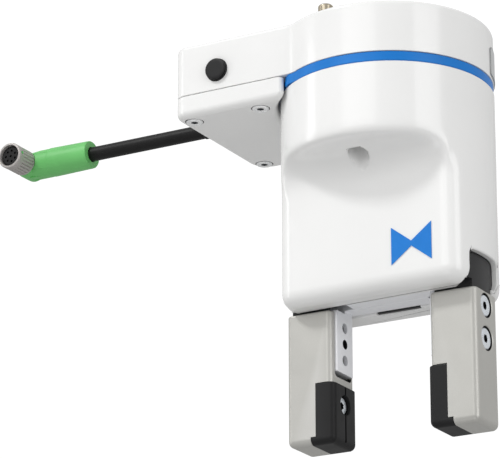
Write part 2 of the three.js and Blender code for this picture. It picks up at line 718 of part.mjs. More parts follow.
function couplingNut() {
  return cut(
    rodY(PLUG.r, PLUG.face, PLUG.neck, PLUG.elbow, CABLE_Z, RING),
    rodY(4.5, PLUG.face - 1, PLUG.neck + 1, PLUG.elbow, CABLE_Z),
  );
}

// ---- Put it together ----
add("robot_flange", robotFlange(), "aluminium");
add("dowel_pin", dowelPin(), "steel");
add("mounting_screw_front", mountingScrew(), "steel", [0, -BOLT_R, MOUNTING_SCREW_Z]);
add("mounting_screw_back", mountingScrew(), "steel", [0, BOLT_R, MOUNTING_SCREW_Z]);
JOIN_ANGLES.forEach((deg, i) => {
  const place = [...polar(JOIN_R, deg), FLANGE_SCREW_Z];
  add(`flange_screw_${i + 1}`, flangeScrew(), "steel", place, [Math.PI, 0, 0]);
});

add("top_cap", topCap(), "white");
add("arm_cover", armCover(), "white");
coverScrewPlaces.forEach(([x, y], i) =>
  add(`cover_screw_${i + 1}`, coverScrew(), "steel", [x, y, ARM_BOTTOM - COVER_SCREW.sink]),
);
add("main_shell", mainShell(), "white");
add("sensor_strip", sensorStrip(), "black");
add("light_ring", ring(38.4, 41.7, SHELL_TOP + 0.2, CAP_BOTTOM - 0.2, BIG), "blue");
add("light_board", ring(33, 38, SHELL_TOP + 0.4, SHELL_TOP + 1.8), "board");
add("rating_plate", bentPlate(42.15, 42.4, 10, 55, CAP_TOP - 20, CAP_TOP - 8), "label");
add("front_mark", frontMark(), "blue");

add("gripper_body", gripperBody(), "aluminium");
add("cylinder_cover", cylinderCover(), "aluminium");
add("cover_seal", coverSeal(), "rubber");
add("rod_seal", rodSeal(), "rubber");
add("piston", piston(), "aluminium");
add("piston_seal", pistonSeal(), "rubber");
add("wedge_hook", wedgeHook(), "steel");

for (const [side, jaw] of [["left", -1], ["right", 1]]) {
  add(`base_jaw_${side}`, baseJaw(jaw), "aluminium");
  add(`jaw_cover_${side}`, jawCover(jaw), "black");
  add(`finger_${side}`, finger(jaw), "finger");
  add(`pad_${side}`, pad(jaw), "black");
  addJawScrew(`pad_screw_${side}`, padScrew(), jaw, -1, PAD.x0 + 1.5, PAD_SCREW_Z);
  add(`finger_dowel_${side}`, fingerDowel(jaw), "steel");
  FINGER_SCREW_Z.forEach((z, i) => {
    const name = `finger_screw_${side}_${i ? "lower" : "upper"}`;
    addJawScrew(name, fingerScrew(), jaw, 1, FINGER.x1 - 0.6, z);
  });
}

add("valve_block", valveBlock(), "aluminium");
add("valve_coil", valveCoil(), "black");
add("control_board", controlBoard(), "board");
add("air_port", airPort(), "steel");
add("push_button", pushButton(), "black");
add("button_switch", buttonSwitch(), "black");
add("cable_grommet", cableGrommet(), "rubber");
add("cable", cable(), "rubber");
add("connector_body", connectorBody(), "green");
add("contact_insert", contactInsert(), "black");
add("coupling_nut", couplingNut(), "steel");

export default gripper;
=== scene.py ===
# Looks of a pneumatic two-jaw gripper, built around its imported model.
# Shapes are drawn in millimetres, in the part's own frame, and turned into metres at the end.
import math

import bmesh
import bpy
import numpy as np
from mathutils import Matrix, Vector


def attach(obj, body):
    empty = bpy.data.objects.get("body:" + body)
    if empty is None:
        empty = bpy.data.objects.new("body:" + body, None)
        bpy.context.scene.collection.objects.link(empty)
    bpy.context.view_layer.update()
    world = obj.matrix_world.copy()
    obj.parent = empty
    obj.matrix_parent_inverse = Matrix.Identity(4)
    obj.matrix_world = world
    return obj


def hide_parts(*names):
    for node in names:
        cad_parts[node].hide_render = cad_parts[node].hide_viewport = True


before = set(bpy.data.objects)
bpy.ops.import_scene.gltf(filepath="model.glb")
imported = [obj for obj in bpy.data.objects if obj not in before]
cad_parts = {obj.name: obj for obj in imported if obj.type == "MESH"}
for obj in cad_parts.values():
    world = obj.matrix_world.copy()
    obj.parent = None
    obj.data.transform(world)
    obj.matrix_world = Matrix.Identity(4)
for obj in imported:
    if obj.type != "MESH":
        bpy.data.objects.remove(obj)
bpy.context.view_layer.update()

MM = 0.001

# ---- Dimensions, in mm ----
GAP = 0.3
CAP_TOP = -3.2
CAP_BOTTOM = -24.1
SHELL_TOP = -28.3
SHELL_BOTTOM = -113.0
ARM_BOTTOM = -33.2
HOUSING_R = 42.0
WALL = 2.4
FLANGE_R = 31.5
FLANGE_RIM_R = 38.5
FLANGE_BOTTOM = -14.0
BOLT_R = 25.0
JOIN_R = 26.0
JOIN_SCREWS = [(JOIN_R * math.cos(math.radians(deg)), JOIN_R * math.sin(math.radians(deg)))
               for deg in (20, 160, 200, 340)]

ARM_END = -78.0
ARM_HALF = 34.7
ARM_CORNER_FRONT = 6.0
ARM_CORNER_BACK = 9.0
ARM_NECK_R = 10.0
ARM_CLEAR_R = 43.0
COVER_SCREW_SINK = 0.5
POST_R = 3.6
PILOT_R = 1.6
PILOT_TOP = -12.0
POCKET_R = 3.7
POCKET_DEPTH = 1.5
COVER_SCREWS = ((-71.6, -28.0), (-71.6, 28.0), (-41.5, -28.0), (-41.5, 28.0))

FLAT_Y = 20.0
FLAT_CORNER = 8.0
SCOOP_TOP = -57.2
SCOOP_R = 10.5
RIM_BLUR = 2.6
BOTTOM_FILLET = 6.0
BACK_FILLET = 2.0
ACCESS_R = 4.0
MOUTH_Y = 8.2
WINDOW_Y = (-12.1, 10.9)
WINDOW_TOP = -99.6
WINDOW_CORNER = 3.0
WINDOW_X = 25.8
WINDOW_LOOPS = (1.1, 2.2, -1.5)
FLARE_X = (32.5, 36.9)
STRIP_X = (-10.0, 8.4)
STRIP_Y = 9.9

SLIDE_TOP = -86.0
SLIDE_BOTTOM = -112.2
SLIDE_Y = 8.0
SLIDE_IN = -16.0
SLIDE_OUT = 32.0
RIB_X = (-12.0, 25.0)
RIB_Y = -10.5
RIB_Z = (-96.0, -91.0)
HOOK_SLOPE = 10 / 14
HOOK_X = -8.0
HOOK_Z = -106.0
HOOK_HALF = 2.975
HOOK_LOW = -106.3
HOOK_Y = (-7.1, -0.9)
LEG_X = (20.0, 25.5)
LEG_Y = 6.4
LEG_TOP = -113.1
LEG_END = -137.7
FINGER_X = (21.0, 40.7)
FINGER_Y = 9.4
FINGER_Z = (-166.4, -113.7)
FINGER_SCREW_Z = (-119.2, -132.2)
DOWEL_Z = -125.7
DOWEL_HOLE_R = 1.9
PAD_X = (20.0, 28.0)
PAD_TOP = -142.4
PAD_FOOT = -163.5
PAD_FOOT_X = 30.2
PAD_SCREW_Z = -150.0

CABLE_Z = -25.8
CABLE_R = 3.0
CABLE_START = -83.8
CABLE_END = -136.7
CABLE_SUNK = 2.2
CABLE_WAY_R = 4.5
PLUG_X = -168.3
NUT_BACK = -5.3
BUTTON_X = -57.5
BUTTON_Z = -16.1
BUTTON_R = 4.6
BUTTON_PROUD = 1.9
PORT_Y = 18.0
PORT_Z = -14.5
PORT_HOLE_R = 4.0


# ---- Mesh helpers ----
def placed(name, data):
    """A new object in the scene."""
    obj = bpy.data.objects.new(name, data)
    bpy.context.scene.collection.objects.link(obj)
    return obj


def solid(verts, faces):
    """A closed mesh object, in mm, with its faces looking out."""
    mesh = bpy.data.meshes.new("shape")
    mesh.from_pydata([tuple(v) for v in verts], [], faces)
    bm = bmesh.new()
    bm.from_mesh(mesh)
    bmesh.ops.recalc_face_normals(bm, faces=bm.faces)
    bm.to_mesh(mesh)
    bm.free()
    return placed("shape", mesh)


def bake(obj):
    """Applies the modifiers of an object to its mesh."""
    graph = bpy.context.evaluated_depsgraph_get()
    graph.update()
    mesh = bpy.data.meshes.new_from_object(obj.evaluated_get(graph))
    obj.modifiers.clear()
    old = obj.data
    obj.data = mesh
    bpy.data.meshes.remove(old)
    return obj


def combine(obj, *tools, operation="DIFFERENCE"):
    for tool in tools:
        modifier = obj.modifiers.new("boolean", "BOOLEAN")
        modifier.operation = operation
        modifier.solver = "EXACT"
        modifier.object = tool
    bake(obj)
    for tool in tools:
        bpy.data.objects.remove(tool)
    return obj


def cut(obj, *tools):
    return combine(obj, *tools)


def join(obj, *tools):
    return combine(obj, *tools, operation="UNION")


def common(obj, *tools):
    return combine(obj, *tools, operation="INTERSECT")


def soften(obj, width, segments, angle):
    """Rounds the sharp edges of an object."""
    modifier = obj.modifiers.new("bevel", "BEVEL")
    modifier.width = width
    modifier.segments = segments
    modifier.limit_method = "ANGLE"
    modifier.angle_limit = math.radians(angle)
    return bake(obj)


SHARP_ANGLE = math.radians(42)


def soften_where(obj, width, segments, chosen):
    """Rounds the sharp edges whose two ends both pass a test of their place."""
    bm = bmesh.new()
    bm.from_mesh(obj.data)
    bmesh.ops.remove_doubles(bm, verts=bm.verts, dist=0.004)
    bmesh.ops.dissolve_degenerate(bm, dist=0.002, edges=bm.edges)
    weight = bm.edges.layers.float.new("bevel_weight_edge")
    for edge in bm.edges:
        sharp = len(edge.link_faces) == 2 and edge.calc_face_angle(0.0) > SHARP_ANGLE
        edge[weight] = 1.0 if sharp and all(chosen(v.co) for v in edge.verts) else 0.0
    bm.to_mesh(obj.data)
    bm.free()
    modifier = obj.modifiers.new("bevel", "BEVEL")
    modifier.width = width
    modifier.segments = segments
    modifier.limit_method = "WEIGHT"
    modifier.use_clamp_overlap = False
    return bake(obj)


def moved(obj, matrix):
    obj.data.transform(matrix)
    return obj


def copied(obj, matrix):
    twin = obj.copy()
    twin.data = obj.data.copy()
    bpy.context.scene.collection.objects.link(twin)
    return moved(twin, matrix)


def two_tone(obj, first, second, chosen):
    """Two materials: the second one on the faces whose centre passes a test."""
    obj.data.materials.append(first)
    obj.data.materials.append(second)
    for face in obj.data.polygons:
        face.material_index = 1 if chosen(face.center) else 0


def sliced(obj, heights):
    """Adds a level edge loop at each height."""
    bm = bmesh.new()
    bm.from_mesh(obj.data)
    for z in heights:
        bmesh.ops.bisect_plane(bm, geom=bm.verts[:] + bm.edges[:] + bm.faces[:], plane_co=(0, 0, z),
                               plane_no=(0, 0, 1))
    bm.to_mesh(obj.data)
    bm.free()


HALF_TURN = Matrix.Rotation(math.pi, 4, "Z")
TO_AXIS = {
    "z": lambda u, v, w: (u, v, w),
    "x": lambda u, v, w: (w, u, v),
    "y": lambda u, v, w: (u, w, v),
}


def skinned(rings, loop=False):
    """Points and side faces of a skin over rings of equal point counts."""
    n = len(rings[0])
    verts = [p for ring in rings for p in ring]
    faces = []
    for i in range(len(rings) if loop else len(rings) - 1):
        a, b = i * n, (i + 1) % len(rings) * n
        faces += [(a + j, a + (j + 1) % n, b + (j + 1) % n, b + j) for j in range(n)]
    return verts, faces


def loft(rings, loop=False):
    """A solid over rings. Open ends get a flat face, a loop joins its ends."""
    verts, faces = skinned(rings, loop)
    n = len(rings[0])
    if not loop:
        faces.append(tuple(range(n)))
        faces.append(tuple((len(rings) - 1) * n + j for j in range(n)))
    return solid(verts, faces)


def arc(cx, cy, r, start, end, steps):
    angles = np.radians(np.linspace(start, end, steps + 1))
    return [(cx + r * math.cos(a), cy + r * math.sin(a)) for a in angles]


def rect(x0, x1, y0, y1, r, steps=6):
    """An outline that can be drawn again with an inset, always with the same point count."""
    def at(inset):
        q = max(r - inset, 0.02)
        a, b, c, d = x0 + inset, x1 - inset, y0 + inset, y1 - inset
        return (
            arc(b - q, c + q, q, -90, 0, steps)
            + arc(b - q, d - q, q, 0, 90, steps)
            + arc(a + q, d - q, q, 90, 180, steps)
            + arc(a + q, c + q, q, 180, 270, steps)
        )
    return at


def circle(r, cx=0.0, cy=0.0, steps=64):
    return lambda inset: arc(cx, cy, r - inset, 0, 360 - 360 / steps, steps - 1)


def polygon(points):
    return lambda inset: points


def prism(outline, low, high, f_low=0.0, f_high=0.0, axis="z", steps=5):
    """An outline run along an axis, with round edges at its two ends."""
    to = TO_AXIS[axis]
    angles = [math.radians(90 * i / steps) for i in range(steps + 1)]
    quarter = [(1 - math.sin(a), 1 - math.cos(a)) for a in angles]
    levels = [(f_low * s, low + f_low * c) for s, c in quarter] if f_low else [(0.0, low)]
    levels += [(f_high * c, high - f_high * s) for s, c in quarter] if f_high else [(0.0, high)]
    return loft([[to(u, v, w) for u, v in outline(inset)] for inset, w in levels])


def box(x0, x1, y0, y1, z0, z1):
    return prism(polygon([(x0, y0), (x1, y0), (x1, y1), (x0, y1)]), z0, z1)


def turned(profile, axis="z", centre=(0.0, 0.0), steps=96, loop=False, radius=None):
    """A lathe shape from (radius, place on the axis) pairs. radius(angle, r, w) can vary it."""
    to = TO_AXIS[axis]
    rings = []
    for r, w in profile:
        ring = []
        for j in range(steps):
            a = 2 * math.pi * j / steps
            q = radius(a, r, w) if radius else r
            ring.append(to(centre[0] + q * math.cos(a), centre[1] + q * math.sin(a), w))
        rings.append(ring)
    return loft(rings, loop)


def smooth(obj, angle=32):
    """Smooth shading that keeps flat faces flat and crisp edges crisp."""
    obj.data.polygons.foreach_set("use_smooth", [True] * len(obj.data.polygons))
    obj.data.set_sharp_from_angle(angle=math.radians(angle))
    modifier = obj.modifiers.new("normals", "WEIGHTED_NORMAL")
    modifier.keep_sharp = True
    return bake(obj)


def piece(obj, name, body, slot, material, *nodes, angle=32):
    """Turns a shape in mm into a finished piece of the object."""
    obj.name = name
    obj.data.transform(Matrix.Scale(MM, 4))
    smooth(obj, angle)
    obj.data.name = name
    if not len(obj.data.materials):
        obj.data.materials.append(material)
    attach(obj, body)
    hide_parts(*nodes)
    return obj


# ---- Camera ----
CAMERA_AT = (0.50993, -0.99523, -0.46209)
CAMERA_TURN = math.radians(29.9)
CAMERA_RISE = math.radians(18.79)
CAMERA_LENS = 219.04


def add_camera():
    data = bpy.data.cameras.new("camera")
    data.sensor_width = 36
    data.lens = CAMERA_LENS
    data.clip_end = 60
    camera = placed("camera", data)
    camera.location = CAMERA_AT
    flat = math.cos(CAMERA_RISE)
    look = Vector((-math.sin(CAMERA_TURN) * flat, math.cos(CAMERA_TURN) * flat, math.sin(CAMERA_RISE)))
    camera.rotation_euler = look.to_track_quat("-Z", "Y").to_euler()
    bpy.context.scene.camera = camera


add_camera()


# ---- Materials ----
def linear(srgb):
    """An sRGB colour of 0 to 255 as linear light."""
    def one(c):
        c /= 255
        return c / 12.92 if c <= 0.04045 else ((c + 0.055) / 1.055) ** 2.4
    return tuple(one(c) for c in srgb)


def ranged(tree, value, low, high, start=0.3, stop=0.7):
    """A socket's value, mapped from between start and stop to between low and high."""
    node = tree.nodes.new("ShaderNodeMapRange")
    for name, number in (("From Min", start), ("From Max", stop), ("To Min", low), ("To Max", high)):
        node.inputs[name].default_value = number
    tree.links.new(value, node.inputs["Value"])
    return node.outputs["Result"]


def surface(name, srgb, rough, metal=0.0, tint=0.03, patch=14.0, gloss_spread=0.06, grain=0.2,
            depth=0.001, stretch=(1, 1, 1), speck=0.0, coat=0.0, edge_highlight=0.0, specular=0.5):
    """A finish with slow colour patches, fine grain in colour, gloss and height, and a painted highlight that
    lightens sharp edges.
    patch, grain and depth are in mm. stretch under 1 draws the grain out along that axis."""
    mat = bpy.data.materials.new(name)
    mat.use_nodes = True
    tree = mat.node_tree
    nodes, links = tree.nodes, tree.links
    bsdf = nodes["Principled BSDF"]
    bsdf.inputs["Metallic"].default_value = metal
    bsdf.inputs["Specular IOR Level"].default_value = specular
    bsdf.inputs["Coat Weight"].default_value = coat
    bsdf.inputs["Coat Roughness"].default_value = 0.06
    where = nodes.new("ShaderNodeTexCoord")

    def noise(size, detail, scale=(1, 1, 1)):
        mapping = nodes.new("ShaderNodeMapping")
        mapping.inputs["Scale"].default_value = [s / (size * MM) for s in scale]
        links.new(where.outputs["Object"], mapping.inputs["Vector"])
        texture = nodes.new("ShaderNodeTexNoise")
        texture.inputs["Scale"].default_value = 1.0
        texture.inputs["Detail"].default_value = detail
        links.new(mapping.outputs["Vector"], texture.inputs["Vector"])
        return texture.outputs["Fac"]

    def mix(factor, a, b):
        node = nodes.new("ShaderNodeMix")
        node.data_type = "RGBA"
        for socket, value in (("Factor", factor), ("A", a), ("B", b)):
            target = [s for s in node.inputs if s.name == socket and s.enabled][0]
            if isinstance(value, tuple):
                target.default_value = (*value, 1)
            else:
                links.new(value, target)
        return [s for s in node.outputs if s.enabled][0]

    base = linear(srgb)
    slow = noise(patch, 3)
    fine = noise(grain, 4, stretch)
    colour = mix(
        ranged(tree, slow, 0.0, 1.0),
        tuple(c * (1 - tint) for c in base),
        tuple(min(c * (1 + tint), 1.0) for c in base),
    )
    if speck:
        colour = mix(ranged(tree, fine, 0.0, speck), colour, tuple(c * 0.45 for c in base))
    # Painted highlight: where the mesh is sharp the colour turns lighter, standing in for light caught by the
    # edges.
    if edge_highlight:
        pointed = nodes.new("ShaderNodeNewGeometry").outputs["Pointiness"]
        edge_highlight_colour = tuple(min(c * 2.2 + 0.03, 1.0) for c in base)
        colour = mix(ranged(tree, pointed, 0.0, edge_highlight, 0.53, 0.62), colour, edge_highlight_colour)
    links.new(colour, bsdf.inputs["Base Color"])
    both = nodes.new("ShaderNodeMath")
    both.operation = "ADD"
    links.new(ranged(tree, slow, -gloss_spread / 2, gloss_spread / 2), both.inputs[0])
    links.new(ranged(tree, fine, rough - gloss_spread / 2, rough + gloss_spread / 2), both.inputs[1])
    both.use_clamp = True
    links.new(both.outputs["Value"], bsdf.inputs["Roughness"])
    bump = nodes.new("ShaderNodeBump")
    bump.inputs["Strength"].default_value = 1.0
    bump.inputs["Distance"].default_value = depth * MM
    links.new(fine, bump.inputs["Height"])
    links.new(bump.outputs["Normal"], bsdf.inputs["Normal"])
    return mat


WHITE = surface("white_paint", (244, 244, 243), 0.22, tint=0.012, patch=30, grain=1.6, depth=0.0012,
                gloss_spread=0.05, coat=0.35)
BLUE = surface("blue_diffuser", (22, 122, 208), 0.36, tint=0.04, patch=9, grain=0.7, specular=0.25)
MARK = surface("blue_print", (26, 124, 212), 0.34, patch=5, grain=0.25, depth=0.0015, specular=0.25)
LABEL = surface("plate_foil", (206, 208, 209), 0.36, metal=0.35, patch=6, grain=0.25)
LABEL_RIM = surface("plate_rim", (70, 71, 73), 0.42, tint=0.06, patch=5)
BLACK = surface("black_plastic", (38, 38, 39), 0.42, tint=0.1, patch=9, grain=0.35, depth=0.004,
                edge_highlight=0.1, specular=0.32)
PAD = surface("pad_plastic", (20, 20, 21), 0.5, tint=0.08, patch=8, grain=0.3, depth=0.005, edge_highlight=0.16,
              specular=0.28)
BUTTON = surface("button_rubber", (25, 25, 26), 0.46, tint=0.08, patch=4, grain=0.25, depth=0.003,
                 edge_highlight=0.16, specular=0.25)
JACKET = surface("cable_jacket", (19, 19, 19), 0.46, tint=0.14, patch=7, grain=0.5, depth=0.006,
                 stretch=(0.25, 1, 1), specular=0.25)
SEAL = surface("seal_rubber", (26, 26, 27), 0.62, tint=0.12, patch=3, grain=0.3, depth=0.004)
ALUMINIUM = surface("milled_aluminium", (205, 208, 213), 0.3, metal=1.0, tint=0.04, patch=11,
                    grain=0.22, depth=0.0012, stretch=(0.04, 1, 1), gloss_spread=0.1)
# Brushed aluminium whose near-white base colour is partly a painted reflection, standing in for its bright
# sheen.
LEG_METAL_SHEEN = surface("brushed_leg_painted_sheen", (247, 248, 251), 0.34, metal=0.3, tint=0.015, patch=9, grain=0.12,
                    depth=0.0001, stretch=(0.03, 1, 1))
FINGER = surface("blasted_finger", (193, 192, 187), 0.42, metal=0.45, tint=0.015, patch=10, grain=0.3,
                 depth=0.004, speck=0.07, gloss_spread=0.08, edge_highlight=0.12)
STEEL = surface("zinc_steel", (234, 240, 246), 0.3, metal=0.55, tint=0.06, patch=2.5, depth=0.0015,
                gloss_spread=0.14)
# Painted shade: a darker steel for screw shanks, standing in for the shade in the holes they sit in.
THREAD_SHADE_STEEL = surface("thread_steel_painted_shade", (112, 114, 117), 0.42, metal=0.6, tint=0.12, patch=2, grain=0.18,
                     depth=0.002, gloss_spread=0.14)
# Painted light: a lighter copy of the zinc steel for screw heads that face down.
LIT_ZINC = surface("zinc_painted_light", (252, 254, 255), 0.28, metal=0.35, patch=2.5)
# Painted shade: a grey for the key holes of the cover screws.
GREY_SOCKET_SHADE = surface("socket_painted_shade_grey", (120, 124, 128), 0.45, metal=0.6, tint=0.1, patch=1.5,
                      grain=0.15, depth=0.002)
# Painted shade: near-black for key holes, pockets and holes where shade falls, and for the finger dowels that
# sit in such holes.
SOCKET_SHADE = surface("socket_painted_shade_black", (20, 21, 22), 0.55, metal=0.2, tint=0.1, patch=1.5, grain=0.15,
                 depth=0.002)
PIN = surface("pin_steel", (190, 180, 160), 0.26, metal=1.0, tint=0.06, patch=3, stretch=(1, 1, 0.05),
              gloss_spread=0.1)
NICKEL = surface("nickel_nut", (178, 174, 171), 0.5, metal=0.35, tint=0.04, patch=3, grain=0.25,
                 gloss_spread=0.08)
GREEN = surface("green_plastic", (110, 196, 110), 0.42, tint=0.04, patch=8, grain=0.5, depth=0.003)
GREEN_LINE = surface("green_mark", (88, 186, 94), 0.45, tint=0.06, patch=2)
INSERT = surface("insert_plastic", (26, 26, 27), 0.5, tint=0.1, patch=2, depth=0.002, specular=0.2)
BOARD = surface("board_green", (30, 92, 58), 0.4, tint=0.14, patch=2.2, grain=0.4, depth=0.01)
BRASS = surface("port_brass", (188, 180, 168), 0.3, metal=0.9, tint=0.05, patch=3, gloss_spread=0.1)


# ---- Cable and connector ----
def build_cable():
    end = CABLE_END - CABLE_SUNK
    points = [(CABLE_START + (end - CABLE_START) * i / 15, 0.0, CABLE_Z) for i in range(16)]
    curve = bpy.data.curves.new("cable_route", "CURVE")
    curve.dimensions = "3D"
    curve.bevel_depth = CABLE_R * MM
    curve.bevel_resolution = 10
    curve.use_fill_caps = True
    spline = curve.splines.new("POLY")
    spline.points.add(len(points) - 1)
    for place, (x, y, z) in zip(spline.points, points):
        place.co = (x * MM, y * MM, z * MM, 1)
    spline.use_smooth = True
    cable = placed("cable_jacket", curve)
    curve.materials.append(JACKET)
    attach(cable, "housing")
    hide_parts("cable")
    return cable


def build_grommet():
    """A ribbed strain relief with its neck in the arm's end wall."""
    profile = [(4.2, ARM_END + 2.6), (4.2, ARM_END + 0.2), (3.7, ARM_END - 0.1), (3.45, ARM_END - 1.2)]
    start, end, ribs = ARM_END - 1.4, CABLE_START + 0.6, 3
    pitch = (start - end) / ribs
    for i in range(ribs):
        x = start - i * pitch
        r = 3.4 - 0.06 * i
        profile += [(r - 0.2, x), (r - 0.2, x - pitch * 0.3), (r, x - pitch * 0.42), (r, x - pitch * 0.95)]
    profile += [(3.2, CABLE_START + 0.5), (3.05, CABLE_START + 0.3)]
    body = turned(profile, "x", (0.0, CABLE_Z), 72)
    inner = turned([(4.9, ARM_END + 2.7), (4.9, ARM_END + 4.0)], "x", (0.0, CABLE_Z), 48)
    join(body, inner)
    return piece(body, "cable_grommet_ribbed", "housing", "cable_jacket", SEAL, "cable_grommet")


GRIP_R = 5.95
GRIP_START = -162.2


def build_connector_body():
    z = CABLE_Z
    sleeve = turned(
        [(5.3, -138.0), (5.6, -138.1), (5.76, -138.4), (5.8, -139.0), (6.08, -155.6), (6.08, -156.9),
         (5.98, -157.3), (5.8, -157.5), (4.6, -158.0)],
        "x", (0.0, z), 96,
    )
    hollow = turned([(3.05, -139.4), (3.05, -138.3), (3.3, -137.9), (3.3, -136.0)], "x", (0.0, z), 48)
    grip = turned([(5.2, -168.8), (5.45, -168.2), (5.8, -164), (GRIP_R, GRIP_START), (GRIP_R, -156.8)],
                  "x", (0.0, z), 96)
    cut(grip, turned([(5.75, -15.0), (5.75, NUT_BACK + 0.02)], "y", (PLUG_X, z), 96))
    throat = prism(circle(5.1, 0.0, z, 24), PLUG_X, GRIP_START + 1, axis="x")
    ridges = [
        prism(rect(-0.16, 0.16, GRIP_R - 1.0, GRIP_R + 0.08, 0.1, 2), GRIP_START - 5, -157.4, 0.0, 0.2, "x")
        for _ in range(4)
    ]
    for ridge, turn in zip(ridges, (54, 126, 162, 198)):
        spin = Matrix.Rotation(math.radians(turn), 4, "X")
        moved(ridge, Matrix.Translation((0, 0, z)) @ spin)
    elbow = turned(
        [(3.2, 5.6), (4.3, 5.35), (5.45, 3.6), (5.5, 1.0), (5.5, -2.6), (5.25, -3.6), (4.95, -4.2),
         (4.95, -5.1)],
        "y", (PLUG_X, z), 96,
    )
    heel = prism(rect(-4.4, 4.4, z - 4.5, z + 4.5, 2.0), -172.3, -166.0, 1.6, 0.0, "x")
    join(grip, sleeve, throat, elbow, heel, *ridges)
    cut(grip, hollow)
    soften(grip, 0.16, 2, 28)
    return piece(grip, "connector_shell", "housing", "green_plastic", GREEN, "connector_body", angle=28)


def build_insert():
    z = CABLE_Z
    insert = turned([(4.1, NUT_BACK), (4.1, -15.15), (3.85, -15.4)], "y", (PLUG_X, z), 64)
    places = [(0.0, 0.0)] + [
        (2.35 * math.cos(a), 2.35 * math.sin(a)) for a in (i * 2 * math.pi / 7 + 1.35 for i in range(7))
    ]
    holes = [turned([(0.48, -16.0), (0.48, -13.2)], "y", (PLUG_X + u, z + v), 20) for u, v in places]
    notch = turned([(0.55, -16.0), (0.55, -13.0)], "y", (PLUG_X + 4.05, z + 0.6), 20)
    cut(insert, *holes, notch)
    soften(insert, 0.07, 1, 50)
    return piece(insert, "contact_insert_fine", "housing", "black_plastic", INSERT, "contact_insert")


NUT_RIDGES = 24
NUT_STEPS = NUT_RIDGES * 12
NUT_GROOVE_DEPTH = 0.42
NUT_GROOVE_Y = (-13.4, -5.7)
GREEN_GROOVES = (2, 3, 5)
GREEN_Y = (-12.9, -8.4)


def build_nut():
    z = CABLE_Z
    share = lambda a: (a / (2 * math.pi) * NUT_RIDGES) % 1.0

    def radius(a, r, w):
        low, high = NUT_GROOVE_Y
        if not low < w < high or r < 5:
            return r
        fall = min(1.0, (w - low) / 0.25, (high - w) / 0.25)
        lift = 0.5 + 0.5 * math.cos(2 * math.pi * share(a))
        return r - NUT_GROOVE_DEPTH * fall * (1 - min(1.0, lift * 3.2))

    profile = [(4.45, -16.2), (4.6, -16.5), (5.2, -16.5), (5.4, -16.35), (5.52, -16.0), (5.52, -13.9),
               (5.45, -13.6), (5.45, -13.4), (5.45, -13.25), (5.45, -13.0), (5.45, -12.6), (5.45, -10.5),
               (5.45, -8.4), (5.45, -6.3), (5.45, -5.95), (5.45, -5.7), (5.3, -5.35), (4.7, -5.3),
               (4.45, -5.5), (4.45, -11.0)]
    nut = turned(profile, "y", (PLUG_X, z), NUT_STEPS, loop=True, radius=radius)

    def marked(c):
        a = math.atan2(c.z - z, c.x - PLUG_X) % (2 * math.pi)
        in_groove = abs(share(a) - 0.5) < 0.17 and GREEN_Y[0] < c.y < GREEN_Y[1]
        return in_groove and int(a / (2 * math.pi) * NUT_RIDGES) in GREEN_GROOVES

    two_tone(nut, NICKEL, GREEN_LINE, marked)
    piece(nut, "coupling_nut_knurled", "nut", "nickel", NICKEL, "coupling_nut", angle=40)
    dot = turned([(0.62, 5.55), (0.62, 5.74), (0.5, 5.78)], "x", (0.0, 0.0), 24)
    turn = Matrix.Rotation(math.radians(-8), 4, "Y")
    moved(dot, Matrix.Translation((PLUG_X, -14.9, z)) @ turn)
    piece(dot, "coupling_nut_dot", "nut", "green_plastic", GREEN_LINE)
    return nut, dot


cable = build_cable()
grommet = build_grommet()
connector = build_connector_body()
insert = build_insert()
nut, nut_dot = build_nut()


# ---- Robot flange, pin and screws on top ----
def build_flange():
    r, rim = FLANGE_R, FLANGE_RIM_R
    plate = turned(
        [(rim - 0.4, FLANGE_BOTTOM), (rim, FLANGE_BOTTOM + 0.4), (rim, -6.3), (rim - 0.4, -5.9),
         (r, -5.9), (r, -0.5), (r - 0.5, 0.0)],
        steps=180,
    )
    holes = []
    for s in (-1, 1):
        holes.append(turned([(3.4, -15), (3.4, -0.5), (3.9, 0.0), (3.9, 1)], "z", (0, s * BOLT_R), 48))
        holes.append(turned([(5.5, -15), (5.5, -7)], "z", (0, s * BOLT_R), 48))
    for x, y in JOIN_SCREWS:
        holes.append(turned([(2.6, -15), (2.6, -5.0)], "z", (x, y), 32))
        holes.append(turned([(4.6, -5.5), (4.6, -0.3), (4.9, 0.0), (4.9, 1)], "z", (x, y), 48))
    dowel = BOLT_R * math.sqrt(0.5)
    holes.append(turned([(3.3, -8), (3.3, -0.3), (3.6, 0), (3.6, 1)], "z", (-dowel, -dowel), 48))
    cut(plate, *holes)
    piece(plate, "robot_flange_plate", "housing", "aluminium", ALUMINIUM, "robot_flange")
    pin = turned(
        [(2.6, -7.7), (3.0, -7.3), (3.0, 8.45), (2.82, 8.85), (2.45, 9.2), (2.2, 9.3)],
        "z", (-dowel, -dowel), 64,
    )
    piece(pin, "dowel_pin_ground", "housing", "steel", PIN, "dowel_pin")


